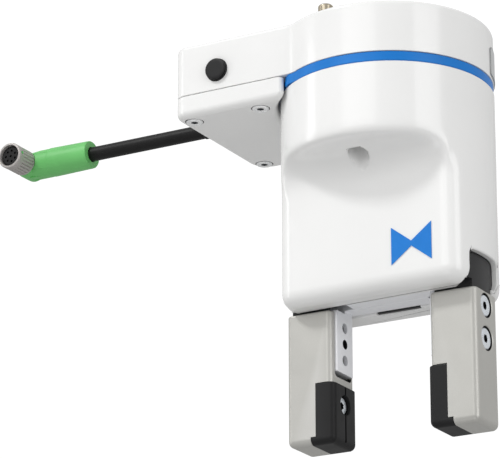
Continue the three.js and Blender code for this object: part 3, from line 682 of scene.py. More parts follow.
def screw(head_r, head_h, shank_r, shank_l, key, lobed=False, thread=0.0, socket=None, face=None):
    """A socket screw along +Z. The outer face of its head is at zero."""
    def radius(a, r, w):
        """The key's hole has six lobes or six sides, and the rest is round."""
        if r != key:
            return r
        if lobed:
            return r * (1 + 0.13 * math.cos(6 * a))
        return r / math.cos((a + math.pi / 6) % (math.pi / 3) - math.pi / 6)

    deep = head_h * 0.75
    edge = min(0.35, head_h * 0.2)
    end = head_h + shank_l
    profile = [(key, deep), (key, 0.16), (key * 1.25, 0.0), (head_r * 0.7, 0.0), (head_r - edge, 0.0),
               (head_r, edge), (head_r, head_h - 0.1), (head_r - 0.1, head_h), (shank_r + 0.1, head_h)]
    if thread:
        turns = int((shank_l - 1.0) / thread)
        start = end - 0.6 - turns * thread
        profile.append((shank_r, start - 0.1))
        for i in range(turns):
            z = start + i * thread
            profile += [(shank_r * 0.86, z + 0.25 * thread), (shank_r, z + 0.6 * thread),
                        (shank_r, z + 0.75 * thread)]
    profile += [(shank_r, end - 0.5), (shank_r - 0.45, end)]
    part = turned(profile, steps=72, radius=radius)
    # Painted shade: the key hole takes the socket material and the shank past the head takes the darker
    # thread steel.
    for material in (face or STEEL, socket or SOCKET_SHADE, THREAD_SHADE_STEEL):
        part.data.materials.append(material)
    for poly in part.data.polygons:
        inside = max(math.hypot(*part.data.vertices[i].co.xy) for i in poly.vertices) < key * 1.2
        if inside and poly.center.z < deep + 0.01:
            poly.material_index = 1
        elif poly.center.z > head_h + 1:
            poly.material_index = 2
    return part


def build_top_screws():
    for i, (x, y) in enumerate(JOIN_SCREWS):
        part = screw(4.3, 4.4, 2.2, 13, 2.0)
        moved(part, Matrix.Translation((x, y, -0.8)) @ Matrix.Rotation(math.pi, 4, "X"))
        piece(part, f"flange_screw_{i + 1}_fine", "housing", "steel", STEEL, f"flange_screw_{i + 1}")
    for name, s in (("front", -1), ("back", 1)):
        part = screw(5.0, 6.0, 3.0, 12.4, 2.6, thread=1.0)
        moved(part, Matrix.Translation((0, s * BOLT_R, -19.4)))
        piece(part, f"mounting_screw_{name}_fine", f"screw_{name}", "steel", STEEL,
              f"mounting_screw_{name}")
    for i, (x, y) in enumerate(COVER_SCREWS):
        # Painted light on the heads, which face down, and a grey painted shade in their key holes.
        part = screw(3.35, 1.7, 1.3, 13, 1.35, lobed=True, socket=GREY_SOCKET_SHADE, face=LIT_ZINC)
        moved(part, Matrix.Translation((x, y, ARM_BOTTOM - COVER_SCREW_SINK)))
        piece(part, f"cover_screw_{i + 1}_fine", "housing", "steel", STEEL, f"cover_screw_{i + 1}")


build_flange()
build_top_screws()


# ---- White housing ----
def cap_outline(inset):
    """Plan of the round cap with its arm, with the same point count for every inset."""
    r, half, end = HOUSING_R - inset, ARM_HALF - inset, ARM_END + inset
    neck = ARM_NECK_R + inset
    front, back = ARM_CORNER_FRONT - inset, ARM_CORNER_BACK - inset
    neck_x = math.sqrt((r + neck) ** 2 - (half + neck) ** 2)
    turn = math.degrees(math.atan2(half + neck, neck_x))
    return (
        arc(-neck_x, -half - neck, neck, 90, turn, 12)
        + arc(0, 0, r, turn - 180, 180 - turn, 150)[1:-1]
        + arc(-neck_x, half + neck, neck, -turn, -90, 12)
        + arc(end + back, half - back, back, 90, 180, 14)
        + arc(end + front, -half + front, front, 180, 270, 14)
    )


CAP_EDGE = 1.5
SEAM_EDGE = 0.25


def build_cap():
    outer = lambda inset, z: [(x, y, z) for x, y in cap_outline(inset)]

    def hole(r, z):
        ring = []
        for x, y in cap_outline(0):
            a = math.atan2(y, x)
            ring.append((r * math.cos(a), r * math.sin(a), z))
        return ring

    rings = [outer(SEAM_EDGE * (1 - math.sin(a)), CAP_BOTTOM + SEAM_EDGE * (1 - math.cos(a)))
             for a in np.radians((0, 30, 60, 90))]
    rings += [outer(CAP_EDGE * (1 - math.cos(a)), CAP_TOP - CAP_EDGE * (1 - math.sin(a)))
              for a in np.radians(np.linspace(0, 90, 8))]
    lip = FLANGE_R + GAP
    rings += [hole(lip + 0.5, CAP_TOP), hole(lip + 0.15, CAP_TOP - 0.15), hole(lip, CAP_TOP - 0.5)]
    rings += [hole(lip, CAP_TOP - WALL), outer(WALL, CAP_TOP - WALL), outer(WALL, CAP_BOTTOM)]
    cap = loft(rings, loop=True)
    posts = [prism(circle(POST_R, x, y, 24), CAP_BOTTOM, CAP_TOP - 1.0) for x, y in COVER_SCREWS]
    web = prism(polygon(cap_outline(0.4)), CAP_BOTTOM + 0.02, CAP_BOTTOM + 1.5)
    common(web, turned([(40.0, -30), (50.0, -30), (50.0, -15), (40.0, -15)], steps=120, loop=True))
    join(cap, web, *posts)
    pilots = [prism(circle(PILOT_R, x, y, 20), CAP_BOTTOM - 1, PILOT_TOP) for x, y in COVER_SCREWS]
    button = prism(circle(BUTTON_R + 0.15, BUTTON_X, BUTTON_Z, 72), -40, -30, axis="y")
    cable_way = prism(circle(CABLE_WAY_R, 0.0, CABLE_Z, 64), ARM_END - 1, ARM_END + 4, axis="x")
    port = prism(circle(PORT_HOLE_R, PORT_Y, PORT_Z, 48), ARM_END - 1, ARM_END + 4, axis="x")
    cut(cap, *pilots, button, cable_way, port)
    piece(cap, "top_cap_moulded", "housing", "white_shell", WHITE, "top_cap")


COVER_FILLET = 2.9
COVER_ARC_FILLET = 2.2
COVER_CORNER = 1.7


def cover_outline(inset, arc_inset):
    """Plan of the arm's cover: a tray with a round bite for the housing."""
    half, end, rho = ARM_HALF - inset, ARM_END + inset, ARM_CLEAR_R + arc_inset
    front, back = ARM_CORNER_FRONT - inset, ARM_CORNER_BACK - inset
    q = COVER_CORNER
    centre_x = -math.sqrt((rho + q) ** 2 - (half - q) ** 2)
    lean = math.degrees(math.atan2(half - q, -centre_x))
    return (
        arc(0, 0, rho, 180 + lean, 180 - lean, 48)
        + arc(centre_x, half - q, q, -lean, 90, 8)[1:]
        + arc(end + back, half - back, back, 90, 180, 14)
        + arc(end + front, -half + front, front, 180, 270, 14)
        + arc(centre_x, -half + q, q, 270, 360 + lean, 8)[:-1]
    )


def build_cover():
    top = CAP_BOTTOM - 0.32
    level = lambda a, b, z: [(x, y, z) for x, y in cover_outline(a, b)]
    rings = [level(WALL, WALL, ARM_BOTTOM + WALL), level(WALL, WALL, top)]
    rings += [level(SEAM_EDGE * (1 - math.cos(a)), SEAM_EDGE * (1 - math.cos(a)),
                    top - SEAM_EDGE * (1 - math.sin(a))) for a in np.radians((90, 60, 30, 0))]
    for a in np.radians(np.linspace(0, 90, 10)):
        rings.append(level(COVER_FILLET * (1 - math.cos(a)), COVER_ARC_FILLET * (1 - math.cos(a)),
                           ARM_BOTTOM + COVER_FILLET * (1 - math.sin(a))))
    cover = loft(rings)
    posts = [prism(circle(POST_R, x, y, 24), ARM_BOTTOM + 1, top) for x, y in COVER_SCREWS]
    join(cover, *posts)
    pocket_top = ARM_BOTTOM + POCKET_DEPTH
    tools = [prism(circle(PILOT_R, x, y, 20), ARM_BOTTOM - 1, top + 1) for x, y in COVER_SCREWS]
    tools += [prism(circle(POCKET_R, x, y, 48), ARM_BOTTOM - 1, pocket_top) for x, y in COVER_SCREWS]
    tools.append(prism(circle(CABLE_WAY_R, 0.0, CABLE_Z, 64), ARM_END - 1, ARM_END + 4, axis="x"))
    cut(cover, *tools)

    # Painted shade: the pocket walls round the screw heads are near-black.
    def in_shaded_pocket(c):
        near = min(math.hypot(c.x - x, c.y - y) for x, y in COVER_SCREWS)
        return near < POCKET_R + 0.02 and c.z < pocket_top + 0.1

    two_tone(cover, WHITE, SOCKET_SHADE, in_shaded_pocket)
    piece(cover, "arm_cover_moulded", "housing", "white_shell", WHITE, "arm_cover")


def plan_radius(a, r, flat, corner):
    """Reach from the axis of a round bar with two flats and round corners, at an angle."""
    ux, uy = abs(math.cos(a)), abs(math.sin(a))
    cx, cy = math.sqrt((r - corner) ** 2 - (flat - corner) ** 2), flat - corner
    lean = math.atan2(uy, ux)
    if lean <= math.atan2(cy, cx):
        return r
    if lean >= math.atan2(flat, cx):
        return flat / uy
    along = cx * ux + cy * uy
    return along + math.sqrt(max(along * along - cx * cx - cy * cy + corner * corner, 0.0))


RUN_ABOVE = 9.0
RUN_BELOW = 10.0
LINE_STEP = 0.2


def scoop_line(a, inset, count, blur):
    """One upright line down the shell's wall and into the scoop, as (reach, height) pairs."""
    r, flat, sr, top = HOUSING_R - inset, FLAT_Y - inset, SCOOP_R + inset, SCOOP_TOP + inset
    s = max(abs(math.sin(a)), 1e-6)
    edge = r * s
    low = top - sr
    rim = low
    line = []
    if edge > flat:
        first = min(edge, flat + sr)
        start = math.acos(min(1.0, (flat + sr - first) / sr))
        rim = low + sr * math.sin(start)
        line = [(min(r, (flat + sr - sr * math.cos(t)) / s), low + sr * math.sin(t))
                for t in np.linspace(start, 0, 24)]
    path = np.array([(r, rim + RUN_ABOVE), (r, rim)] + line + [(min(r, flat / s), low - RUN_BELOW)])
    steps = np.hypot(*np.diff(path, axis=0).T)
    keep = np.concatenate([[True], steps > 1e-6])
    path = path[keep]
    length = np.concatenate([[0], np.cumsum(np.hypot(*np.diff(path, axis=0).T))])
    fine = np.linspace(0, length[-1], int(length[-1] / LINE_STEP) + 1)
    pts = np.stack([np.interp(fine, length, path[:, i]) for i in (0, 1)], 1)
    if blur:
        reach = int(blur * 3 / LINE_STEP)
        kernel = np.exp(-0.5 * (np.arange(-reach, reach + 1) * LINE_STEP / blur) ** 2)
        kernel /= kernel.sum()
        slope0, slope1 = pts[0] - pts[1], pts[-1] - pts[-2]
        head = pts[0] + slope0 * np.arange(reach, 0, -1)[:, None]
        tail = pts[-1] + slope1 * np.arange(1, reach + 1)[:, None]
        padded = np.concatenate([head, pts, tail])
        pts = np.stack([np.convolve(padded[:, i], kernel, "valid") for i in (0, 1)], 1)
    at = np.linspace(0, len(pts) - 1, count)
    index = np.arange(len(pts))
    return np.stack([np.interp(at, index, pts[:, i]) for i in (0, 1)], 1)


CORNER_TOP = -58.0
CORNER_RUN = 14.0


def corner_ease(z):
    """How far the flats' corners are rounded at a height: 0 at the top of their run, 1 at its foot."""
    return min(max((CORNER_TOP - z) / CORNER_RUN, 0.0), 1.0)


def shell_skin(inset, rows_wall, rows_scoop, rows_flat, rounding, bottom, blur, steps):
    """The rings of one skin of the shell, from its top edge down to its underside."""
    columns = []
    corner = max(FLAT_CORNER - inset, 1.5)
    for i in range(steps):
        a = 2 * math.pi * (i + 0.5) / steps
        s = max(abs(math.sin(a)), 1e-6)
        r, flat = HOUSING_R - inset, FLAT_Y - inset
        sharp = min(r, flat / s)
        trim = sharp - plan_radius(a, r, flat, corner)
        scoop = scoop_line(a, inset, rows_scoop, blur)
        column = [(r, z) for z in np.linspace(SHELL_TOP, scoop[0][1], rows_wall, endpoint=False)]
        column += [tuple(p) for p in scoop]
        fillet = rounding(a)
        floor = bottom + fillet
        column += [(sharp, z) for z in np.linspace(scoop[-1][1], floor, rows_flat + 1)[1:]]
        column = [(q - trim * (3 - 2 * corner_ease(z)) * corner_ease(z) ** 2, z) for q, z in column]
        for t in np.radians(np.linspace(0, 90, 9))[1:]:
            d = fillet * (1 - math.cos(t))
            reach = plan_radius(a, r - d, flat - d, max(corner - d, 0.3))
            column.append((reach, floor - fillet * math.sin(t)))
        columns.append([(q * math.cos(a), q * math.sin(a), z) for q, z in column])
    return [list(ring) for ring in zip(*columns)]


TUBE_TOP = -31.0
TUBE_WALL = 1.3


def access_tube(side):
    """The tube inside the shell that guides a hex key from the scoop's ceiling to its screw."""
    tube = prism(circle(ACCESS_R + TUBE_WALL, 0, side * BOLT_R, 64), SCOOP_TOP - 10, TUBE_TOP)
    skin, r = 0.9, SCOOP_R + 0.9
    centre = (FLAT_Y + SCOOP_R, SCOOP_TOP - SCOOP_R)
    hollow = [(60, -120), (FLAT_Y - skin, -120)] + arc(*centre, r, 180, 90, 16) + [(60, SCOOP_TOP + skin)]
    return cut(tube, prism(polygon([(side * y, z) for y, z in hollow]), -15, 15, axis="x"))


def bottom_rounding(a):
    """Radius of the shell's lower edge at an angle: full at the front and sides, small at the back."""
    part = min(max((math.sin(a) - 0.3) / 0.2, 0.0), 1.0)
    return BOTTOM_FILLET + (BACK_FILLET - BOTTOM_FILLET) * part * part * (3 - 2 * part)


def build_shell():
    steps = 360
    outer = shell_skin(0.0, 7, 44, 5, bottom_rounding, SHELL_BOTTOM, RIM_BLUR, steps)
    inner = shell_skin(WALL, 3, 16, 3, lambda a: 0.55 * bottom_rounding(a), SHELL_BOTTOM + WALL, 0.0,
                       steps)
    lip = [(x * (1 - SEAM_EDGE / HOUSING_R), y * (1 - SEAM_EDGE / HOUSING_R), SHELL_TOP)
           for x, y, _ in outer[0]]
    outer[0] = [(x, y, SHELL_TOP - SEAM_EDGE) for x, y, _ in outer[0]]
    shell = loft(inner[::-1] + [lip] + outer)
    sliced(shell, [WINDOW_TOP + rise for rise in WINDOW_LOOPS])
    mouth = box(-50, 50, -MOUTH_Y, MOUTH_Y, SHELL_BOTTOM - 1, SHELL_BOTTOM + WALL + 1)
    sill, q = SHELL_BOTTOM + WALL, WINDOW_CORNER
    y0, y1 = WINDOW_Y
    window = ([(y0, sill), (y1, sill)] + arc(y1 - q, WINDOW_TOP - q, q, 0, 90, 8)
              + arc(y0 + q, WINDOW_TOP - q, q, 90, 180, 8))
    near, far = FLARE_X
    flare = [(near, -MOUTH_Y), (far - 1.6, y0 + 0.9), (far, y0), (50, y0), (50, 1 - MOUTH_Y),
             (near, 1 - MOUTH_Y)]
    windows = []
    for side in (-1, 1):
        outline = [(side * y, z) for y, z in window]
        windows.append(prism(polygon(outline), *sorted((side * WINDOW_X, side * 50)), axis="x"))
        windows.append(prism(polygon([(side * x, side * y) for x, y in flare]), SHELL_BOTTOM - 1, sill))
    bores = [prism(circle(ACCESS_R, 0, s * BOLT_R, 64), SCOOP_TOP - 12, TUBE_TOP + 1) for s in (-1, 1)]
    seat = box(STRIP_X[0] - GAP, STRIP_X[1] + GAP, MOUTH_Y - 1, STRIP_Y + GAP, SHELL_BOTTOM - 1,
               SHELL_BOTTOM + 1.5)
    for side in (-1, 1):
        join(shell, access_tube(side))
    cut(shell, mouth, *windows, *bores, seat)

    def on_skin(p):
        """True on the outside of the shell near the windows, the slot and the access bores."""
        reach, low = math.hypot(p.x, p.y), SHELL_BOTTOM + BOTTOM_FILLET
        if p.z > SHELL_BOTTOM + 50:
            return math.hypot(p.x, abs(p.y) - BOLT_R) < ACCESS_R + 0.2 and p.z < SCOOP_TOP + 1
        if p.z > low:
            return reach > HOUSING_R - 0.2
        if p.z < SHELL_BOTTOM + 0.02:
            return True
        return abs(math.hypot(reach - HOUSING_R + BOTTOM_FILLET, p.z - low) - BOTTOM_FILLET) < 0.1

    soften_where(shell, 0.8, 3, on_skin)
    piece(shell, "main_shell_moulded", "housing", "white_shell", WHITE, "main_shell", angle=38)


build_cap()
build_cover()
build_shell()


# ---- Trim on the housing ----
RING_R = (38.4, 41.7)
WING_X = -28.0


def build_trim():
    z0, z1 = SHELL_TOP + 0.2, CAP_BOTTOM - 0.2
    inner, outer, q = *RING_R, 0.25
    ring = turned(
        [(inner, z0), (outer - q, z0), (outer, z0 + q), (outer, z1 - q), (outer - q, z1), (inner, z1)],
        steps=240, loop=True,
    )
    wing = prism(polygon(cap_outline(0.35)), z0 + 0.05, z1 + 0.05)
    reach = ARM_CLEAR_R - GAP
    common(wing, turned([(39, z0 - 1), (reach, z0 - 1), (reach, z1 + 1), (39, z1 + 1)], steps=120,
                        loop=True))
    common(wing, box(WING_X, 0, -50, 50, z0 - 1, z1 + 1))
    join(ring, wing)
    piece(ring, "light_ring_diffuser", "housing", "light_ring", BLUE, "light_ring")
    strip = prism(rect(*STRIP_X, MOUTH_Y + 0.1, STRIP_Y, 0.3, 3), SHELL_BOTTOM + 0.4, SHELL_BOTTOM + 1.3,
                  0.2, 0.0)
    piece(strip, "sensor_strip_fine", "housing", "black_plastic", BLACK, "sensor_strip")
    build_plate()
    build_mark()


PLATE_R = 42.4
PLATE_Z = (-23.2, -11.2)
PLATE_TURN = math.radians(32.5)
PLATE_REACH = math.radians(22.5)


def build_plate():
    """A blank plate bent round the cap, with a thin dark rim."""
    half = PLATE_REACH * PLATE_R
    cells, corner = 46, 7
    outline = rect(-half, half, *PLATE_Z, 1.6, corner - 1)

    def bent(points, r):
        out = []
        for u, z in points:
            a = PLATE_TURN + u / PLATE_R
            out.append((r * math.cos(a), r * math.sin(a), z))
        return out

    def dense(inset):
        """The outline with extra points along its long sides, so that it can bend."""
        points = outline(inset)
        a, b, c, d = (points[i * corner:(i + 1) * corner] for i in range(4))
        across = lambda p, s: [(p[0] + (s[0] - p[0]) * i / cells, p[1]) for i in range(1, cells)]
        return a + b + across(b[-1], c[0]) + c + d + across(d[-1], a[0])

    edge = dense(0.0)
    rim = dense(0.35)
    rings = [bent(edge, PLATE_R - 0.25), bent(edge, PLATE_R - 0.06), bent(dense(0.06), PLATE_R),
             bent(rim, PLATE_R)]
    verts, faces = skinned(rings)
    n, sides, end = len(edge), len(faces), 2 * corner
    for base in (0, 3 * n):
        upper = range(end - 1, end + cells)
        lower = [(2 * end - 2 + cells + i) % n for i in range(cells + 1)]
        faces += [(base + upper[i], base + upper[i + 1], base + lower[cells - i - 1], base + lower[cells - i])
                  for i in range(cells)]
        faces += [tuple(range(base + start, base + start + end)) for start in (0, end - 1 + cells)]
    plate = solid(verts, faces)
    plate.data.materials.append(LABEL)
    plate.data.materials.append(LABEL_RIM)
    for face in plate.data.polygons:
        face.material_index = 1 if n <= face.index < sides else 0
    piece(plate, "rating_plate_blank", "housing", "blank_plate", LABEL, "rating_plate")


MARK_X = (11.0, 28.0)
MARK_Z = (-104.2, -89.2)


def build_mark():
    """Two opposed arrowheads with joined tips, printed on the flat."""
    (x0, x1), (z0, z1) = MARK_X, MARK_Z
    cx, cz, waist = (x0 + x1) / 2, (z0 + z1) / 2, 1.0
    points = [(x0, z0), (cx, cz - waist), (x1, z0), (x1, z1), (cx, cz + waist), (x0, z1)]
    mark = prism(polygon(points), -20.3, -20.06, axis="y")
    soften(mark, 0.05, 2, 30)
    piece(mark, "front_mark_print", "housing", "blue_mark", MARK, "front_mark")


build_trim()


def build_button():
    face, back = -ARM_HALF - BUTTON_PROUD, -ARM_HALF + WALL + 0.3
    step = face + 0.9
    profile = [(BUTTON_R - 1.6, face + 0.02), (BUTTON_R - 0.75, face), (BUTTON_R - 0.4, face + 0.08),
               (BUTTON_R - 0.25, face + 0.25), (BUTTON_R - 0.25, step - 0.15), (BUTTON_R - 0.5, step - 0.1),
               (BUTTON_R - 0.5, step + 0.05), (BUTTON_R - 0.1, step + 0.1), (BUTTON_R, step + 0.25),
               (BUTTON_R, back), (BUTTON_R + 1.2, back), (BUTTON_R + 1.2, back + 1.4),
               (BUTTON_R, back + 1.5)]
    button = turned(profile, "y", (BUTTON_X, BUTTON_Z), 96)
    piece(button, "push_button_cap", "button", "black_plastic", BUTTON, "push_button")


def build_port():
    profile = [(2.1, ARM_END - 1.0), (2.5, ARM_END - 1.4), (4.6, ARM_END - 1.4), (5.2, ARM_END - 1.1),
               (5.2, ARM_END - 0.3), (3.7, ARM_END - 0.3), (3.7, ARM_END + 5), (2.1, ARM_END + 5)]
    port = turned(profile, "x", (PORT_Y, PORT_Z), 72, loop=True)
    plug = turned([(2.12, ARM_END + 3.6), (2.12, ARM_END + 5)], "x", (PORT_Y, PORT_Z), 36)
    join(port, plug)
    piece(port, "air_port_fitting", "housing", "steel", BRASS, "air_port")


build_button()
build_port()


# ---- Jaws ----
# Each piece is drawn for the right jaw. The left jaw is the same piece turned by half a turn.
def pair(obj, stem, suffix, slot, material):
    for side, part in (("right", obj), ("left", copied(obj, HALF_TURN))):
        piece(part, f"{stem}_{side}_{suffix}", f"jaw_{side}", slot, material, f"{stem}_{side}")


def build_base_jaws():
    slide = prism(rect(-SLIDE_Y, -0.15, SLIDE_BOTTOM, SLIDE_TOP, 0.5, 3), SLIDE_IN, SLIDE_OUT, 0.4, 0.4,
                  "x", 2)
    rib = box(*RIB_X, RIB_Y, -SLIDE_Y + 1, *RIB_Z)
    leg = prism(rect(-LEG_Y, LEG_Y, LEG_END, LEG_TOP, 0.4, 3), *LEG_X, 0.25, 0.25, "x", 2)
    neck = box(LEG_X[0] + 0.05, LEG_X[1] - 0.05, -LEG_Y + 0.05, -0.2, LEG_TOP - 1.5, SLIDE_BOTTOM + 1)
    at = lambda z: HOOK_X + (z - HOOK_Z) * HOOK_SLOPE
    half, low, high = HOOK_HALF, HOOK_LOW, SLIDE_TOP + 5
    slot = prism(polygon([(at(low) - half, low), (at(low) + half, low), (at(high) + half, high),
                          (at(high) - half, high)]), *HOOK_Y, axis="y")
    join(slide, rib, neck, leg)
    holes = [prism(circle(r, 0, z, 48), LEG_X[0] - 1, LEG_X[1] + 1, axis="x")
             for r, z in ((2.1, FINGER_SCREW_Z[0]), (2.1, FINGER_SCREW_Z[1]), (DOWEL_HOLE_R, DOWEL_Z))]
    cut(slide, slot, *holes)
    # Painted shade: the walls of the dowel hole are near-black.
    in_shaded_hole = lambda c: (LEG_X[0] + 0.05 < c.x < LEG_X[1] - 0.05
                         and math.hypot(c.y, c.z - DOWEL_Z) < DOWEL_HOLE_R + 0.05)
    two_tone(slide, LEG_METAL_SHEEN, SOCKET_SHADE, in_shaded_hole)
    pair(slide, "base_jaw", "milled", "aluminium", LEG_METAL_SHEEN)


SHIELD_R = (38.0, 39.4)


def build_jaw_covers():
    """A bent shield behind the side window, with an end cap for the slide and a foot on the finger."""
    z0, z1, top = FINGER_Z[1] + 0.25, SLIDE_BOTTOM - GAP, WINDOW_TOP - 0.4
    sill, foot_y, q = SHELL_BOTTOM + WALL + GAP, MOUTH_Y - GAP, 2.6
    inner, outer = SHIELD_R
    end = outer - 0.8
    y0, y1 = WINDOW_Y[0] + 0.4, WINDOW_Y[1] - 0.4
    outline = ([(-foot_y, z0), (foot_y, z0), (foot_y, sill), (y1, sill)]
               + arc(y1 - q, top - q, q, 0, 90, 8) + arc(y0 + q, top - q, q, 90, 180, 8)
               + [(y0, sill), (-foot_y, sill)])
    shield = prism(polygon(outline), 20, 45, axis="x")
    tube = turned([(inner, z0 - 5), (outer, z0 - 5), (outer, top + 5), (inner, top + 5)], steps=240,
                  loop=True)
    common(shield, tube)
    foot = prism(rect(FINGER_X[0] + 1.5, end, -foot_y, foot_y, 0.8, 4), z0, z1)
    slot = box(LEG_X[0] - 1, LEG_X[1] + GAP, -LEG_Y - GAP, LEG_Y + GAP, z0 - 1, z1 + 1)
    cut(foot, slot)
    end_cap = box(SLIDE_OUT + GAP, end, -foot_y, -GAP, z0, sill + 1)
    join(shield, foot, end_cap)
    soften(shield, 0.16, 2, 40)
    pair(shield, "jaw_cover", "moulded", "black_plastic", BLACK)


FINGER_CORNER = 2.4
LEG_POCKET_X = 31.0
PAD_GAP = 0.12
HEAD_POCKET_R = 4.8
HEAD_POCKET_DEPTH = 5.6
FINGER_FOOT = 2.6


def build_fingers():
    x0, x1 = FINGER_X
    finger = prism(rect(x0, x1, -FINGER_Y, FINGER_Y, FINGER_CORNER, 8), *FINGER_Z, FINGER_FOOT, 0.8, steps=8)
    slot_end = LEG_END - 1.9
    slot = rect(-LEG_Y - GAP, LEG_Y + GAP, slot_end, FINGER_Z[1] + 10, 1.8, 6)
    tools = [prism(slot, x0 - 3, LEG_X[1] + GAP, axis="x")]
    tools.append(box(LEG_X[1], LEG_POCKET_X, -LEG_Y, LEG_Y, slot_end, LEG_END - 0.2))
    for reach, top in ((PAD_X[1], PAD_TOP), (PAD_FOOT_X, PAD_FOOT)):
        tools.append(box(x0 - 3, reach + PAD_GAP, -12, 12, FINGER_Z[0] - 3, top + PAD_GAP))
    r, deep = HEAD_POCKET_R, x1 - HEAD_POCKET_DEPTH
    for z in FINGER_SCREW_Z:
        tools.append(prism(circle(2.8, 0, z, 40), 24, 42, axis="x"))
        tools.append(turned([(r, deep), (r, x1 - 0.35), (r + 0.35, x1), (r + 0.35, x1 + 1)], "x", (0, z), 72))
    tools.append(prism(circle(2.3, 0, DOWEL_Z, 40), 24, 32, axis="x"))
    tools.append(prism(circle(1.8, 0, PAD_SCREW_Z, 40), 26, 37, axis="x"))
    cut(finger, *tools)
    soften(finger, 0.22, 2, 50)

    def shaded(c):
        """True in the pocket under the leg and in the screws' pockets, which get a near-black painted shade.
        """
        under_leg = (x0 + 0.6 < c.x < LEG_POCKET_X + 0.1 and abs(c.y) < LEG_Y + 0.5
                     and slot_end - 0.1 < c.z < LEG_END)
        near = min(math.hypot(c.y, c.z - z) for z in FINGER_SCREW_Z)
        return under_leg or (deep - 0.1 < c.x < x1 - 0.5 and near < r + 0.1)

    two_tone(finger, FINGER, SOCKET_SHADE, shaded)
    pair(finger, "finger", "block", "finger_metal", FINGER)


def build_pads():
    """The pad shares the finger's round corners and foot, and wraps under it."""
    low, high = FINGER_Z[0], PAD_TOP
    body = prism(rect(PAD_X[0], 45, -FINGER_Y, FINGER_Y, FINGER_CORNER, 8), low, high, FINGER_FOOT, 0.5,
                 steps=8)
    side = [(PAD_X[0] - 1, low - 1), (PAD_FOOT_X, low - 1), (PAD_FOOT_X, PAD_FOOT - 0.8),
            (PAD_FOOT_X - 0.25, PAD_FOOT - 0.25), (PAD_FOOT_X - 0.8, PAD_FOOT), (PAD_X[1], PAD_FOOT),
            (PAD_X[1], high + 1), (PAD_X[0] - 1, high + 1)]
    common(body, prism(polygon(side), -12, 12, axis="y"))
    slit = box(PAD_X[0] - 1, PAD_X[0] + 3.4, -0.5, 0.5, low + 1.7, high + 1)
    pocket = turned([(4.1, 19), (4.1, PAD_X[0]), (3.9, PAD_X[0] + 0.25), (3.9, PAD_X[0] + 4.5)], "x",
                    (0, PAD_SCREW_Z), 72)
    way = prism(circle(2.0, 0, PAD_SCREW_Z, 40), PAD_X[0] + 3, PAD_X[1] + 1, axis="x")
    cut(body, slit, pocket, way)
    soften(body, 0.12, 2, 45)
    pair(body, "pad", "moulded", "pad_plastic", PAD)


def build_jaw_screws():
    outward = Matrix.Rotation(-math.pi / 2, 4, "Y")
    inward = Matrix.Rotation(math.pi / 2, 4, "Y")
    for name, z in zip(("upper", "lower"), FINGER_SCREW_Z):
        part = screw(4.2, 4.6, 2.3, 14, 1.5, thread=0.8)
        moved(part, Matrix.Translation((FINGER_X[1] - 0.6, 0, z)) @ outward)
        for side, obj in (("right", part), ("left", copied(part, HALF_TURN))):
            node = f"finger_screw_{side}_{name}"
            piece(obj, node + "_fine", f"jaw_{side}", "steel", STEEL, node)
    part = screw(3.5, 2.6, 1.5, 11, 1.4, lobed=True)
    moved(part, Matrix.Translation((PAD_X[0] + 1.5, 0, PAD_SCREW_Z)) @ inward)
    pair(part, "pad_screw", "fine", "steel", STEEL)


build_base_jaws()
build_jaw_covers()
build_fingers()
build_pads()
build_jaw_screws()


# ---- Finishes of the inner pieces, which keep their own shapes ----
# The finger dowels take the near-black painted shade of the holes they sit in.
INNER = {
    "gripper_body": ALUMINIUM, "cylinder_cover": ALUMINIUM, "piston": ALUMINIUM,
    "valve_block": ALUMINIUM, "cover_seal": SEAL, "rod_seal": SEAL, "piston_seal": SEAL,
    "wedge_hook": STEEL, "finger_dowel_left": SOCKET_SHADE, "finger_dowel_right": SOCKET_SHADE,
    "light_board": BOARD, "control_board": BOARD, "valve_coil": BLACK, "button_switch": BLACK,
}
for node, material in INNER.items():
    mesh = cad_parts[node].data
    mesh.materials.clear()
    mesh.materials.append(material)


# ---- Floor, lights and background ----
FLOOR_Z = -2.45
FLOOR_HALF = 9.0


def build_floor():
    verts = [(x * FLOOR_HALF, y * FLOOR_HALF, FLOOR_Z) for x, y in ((-1, -1), (1, -1), (1, 1), (-1, 1))]
    mesh = bpy.data.meshes.new("floor")
    mesh.from_pydata(verts, [], [(0, 1, 2, 3)])
    floor = placed("floor", mesh)
    mesh.materials.append(surface("floor_paint", (212, 212, 212), 0.7, tint=0.01, patch=600, grain=30,
                                  depth=0.05))


CENTRE = (-0.02, 0.0, -0.08)


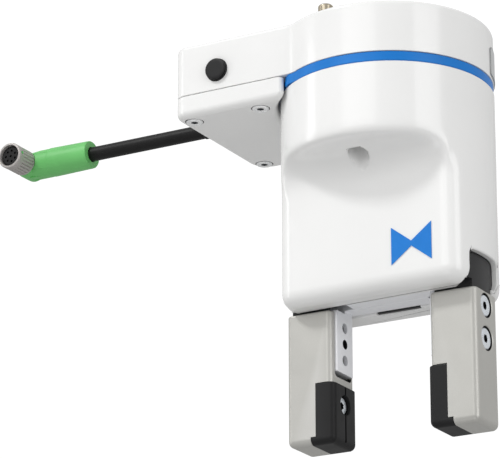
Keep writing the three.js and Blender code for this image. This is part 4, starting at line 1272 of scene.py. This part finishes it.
def add_light(name, where, size, power):
    """A soft panel that faces the middle of the gripper."""
    data = bpy.data.lights.new(name, "AREA")
    data.shape = "RECTANGLE"
    data.size, data.size_y = size
    data.energy = power
    light = placed(name, data)
    light.location = where
    light.rotation_euler = (Vector(CENTRE) - Vector(where)).to_track_quat("-Z", "Y").to_euler()


LIGHT_BELOW = 0.42
LIGHT_ABOVE = 0.64
LIGHT_SEEN = 1.05


def build_world():
    """Soft grey light from all round, brighter from above. A camera sees plain white."""
    world = bpy.data.worlds.new("studio")
    bpy.context.scene.world = world
    world.use_nodes = True
    nodes, links = world.node_tree.nodes, world.node_tree.links
    nodes.clear()
    where = nodes.new("ShaderNodeTexCoord")
    split = nodes.new("ShaderNodeSeparateXYZ")
    links.new(where.outputs["Generated"], split.inputs["Vector"])
    height = ranged(world.node_tree, split.outputs["Z"], LIGHT_BELOW, LIGHT_ABOVE, -0.6, 0.7)
    soft = nodes.new("ShaderNodeBackground")
    plain = nodes.new("ShaderNodeBackground")
    for node in (soft, plain):
        node.inputs["Color"].default_value = (1, 1, 1, 1)
    links.new(height, soft.inputs["Strength"])
    plain.inputs["Strength"].default_value = LIGHT_SEEN
    path = nodes.new("ShaderNodeLightPath")
    choose = nodes.new("ShaderNodeMixShader")
    links.new(path.outputs["Is Camera Ray"], choose.inputs[0])
    links.new(soft.outputs[0], choose.inputs[1])
    links.new(plain.outputs[0], choose.inputs[2])
    out = nodes.new("ShaderNodeOutputWorld")
    links.new(choose.outputs[0], out.inputs["Surface"])


build_floor()
build_world()
add_light("key_left", (-0.72, -1.30, 1.28), (0.3, 0.3), 14.2)
add_light("strip_left", (-1.35, -0.75, -0.05), (0.3, 1.3), 3.2)
add_light("front_soft", (-0.1, -1.9, 0.6), (1.2, 0.9), 4.2)
add_light("low_soft", (0.0, -1.2, -1.6), (1.2, 0.8), 2.6)
add_light("right_soft", (1.7, -0.6, 0.0), (0.9, 1.6), 9.0)
bpy.context.scene.view_settings.view_transform = "Standard"
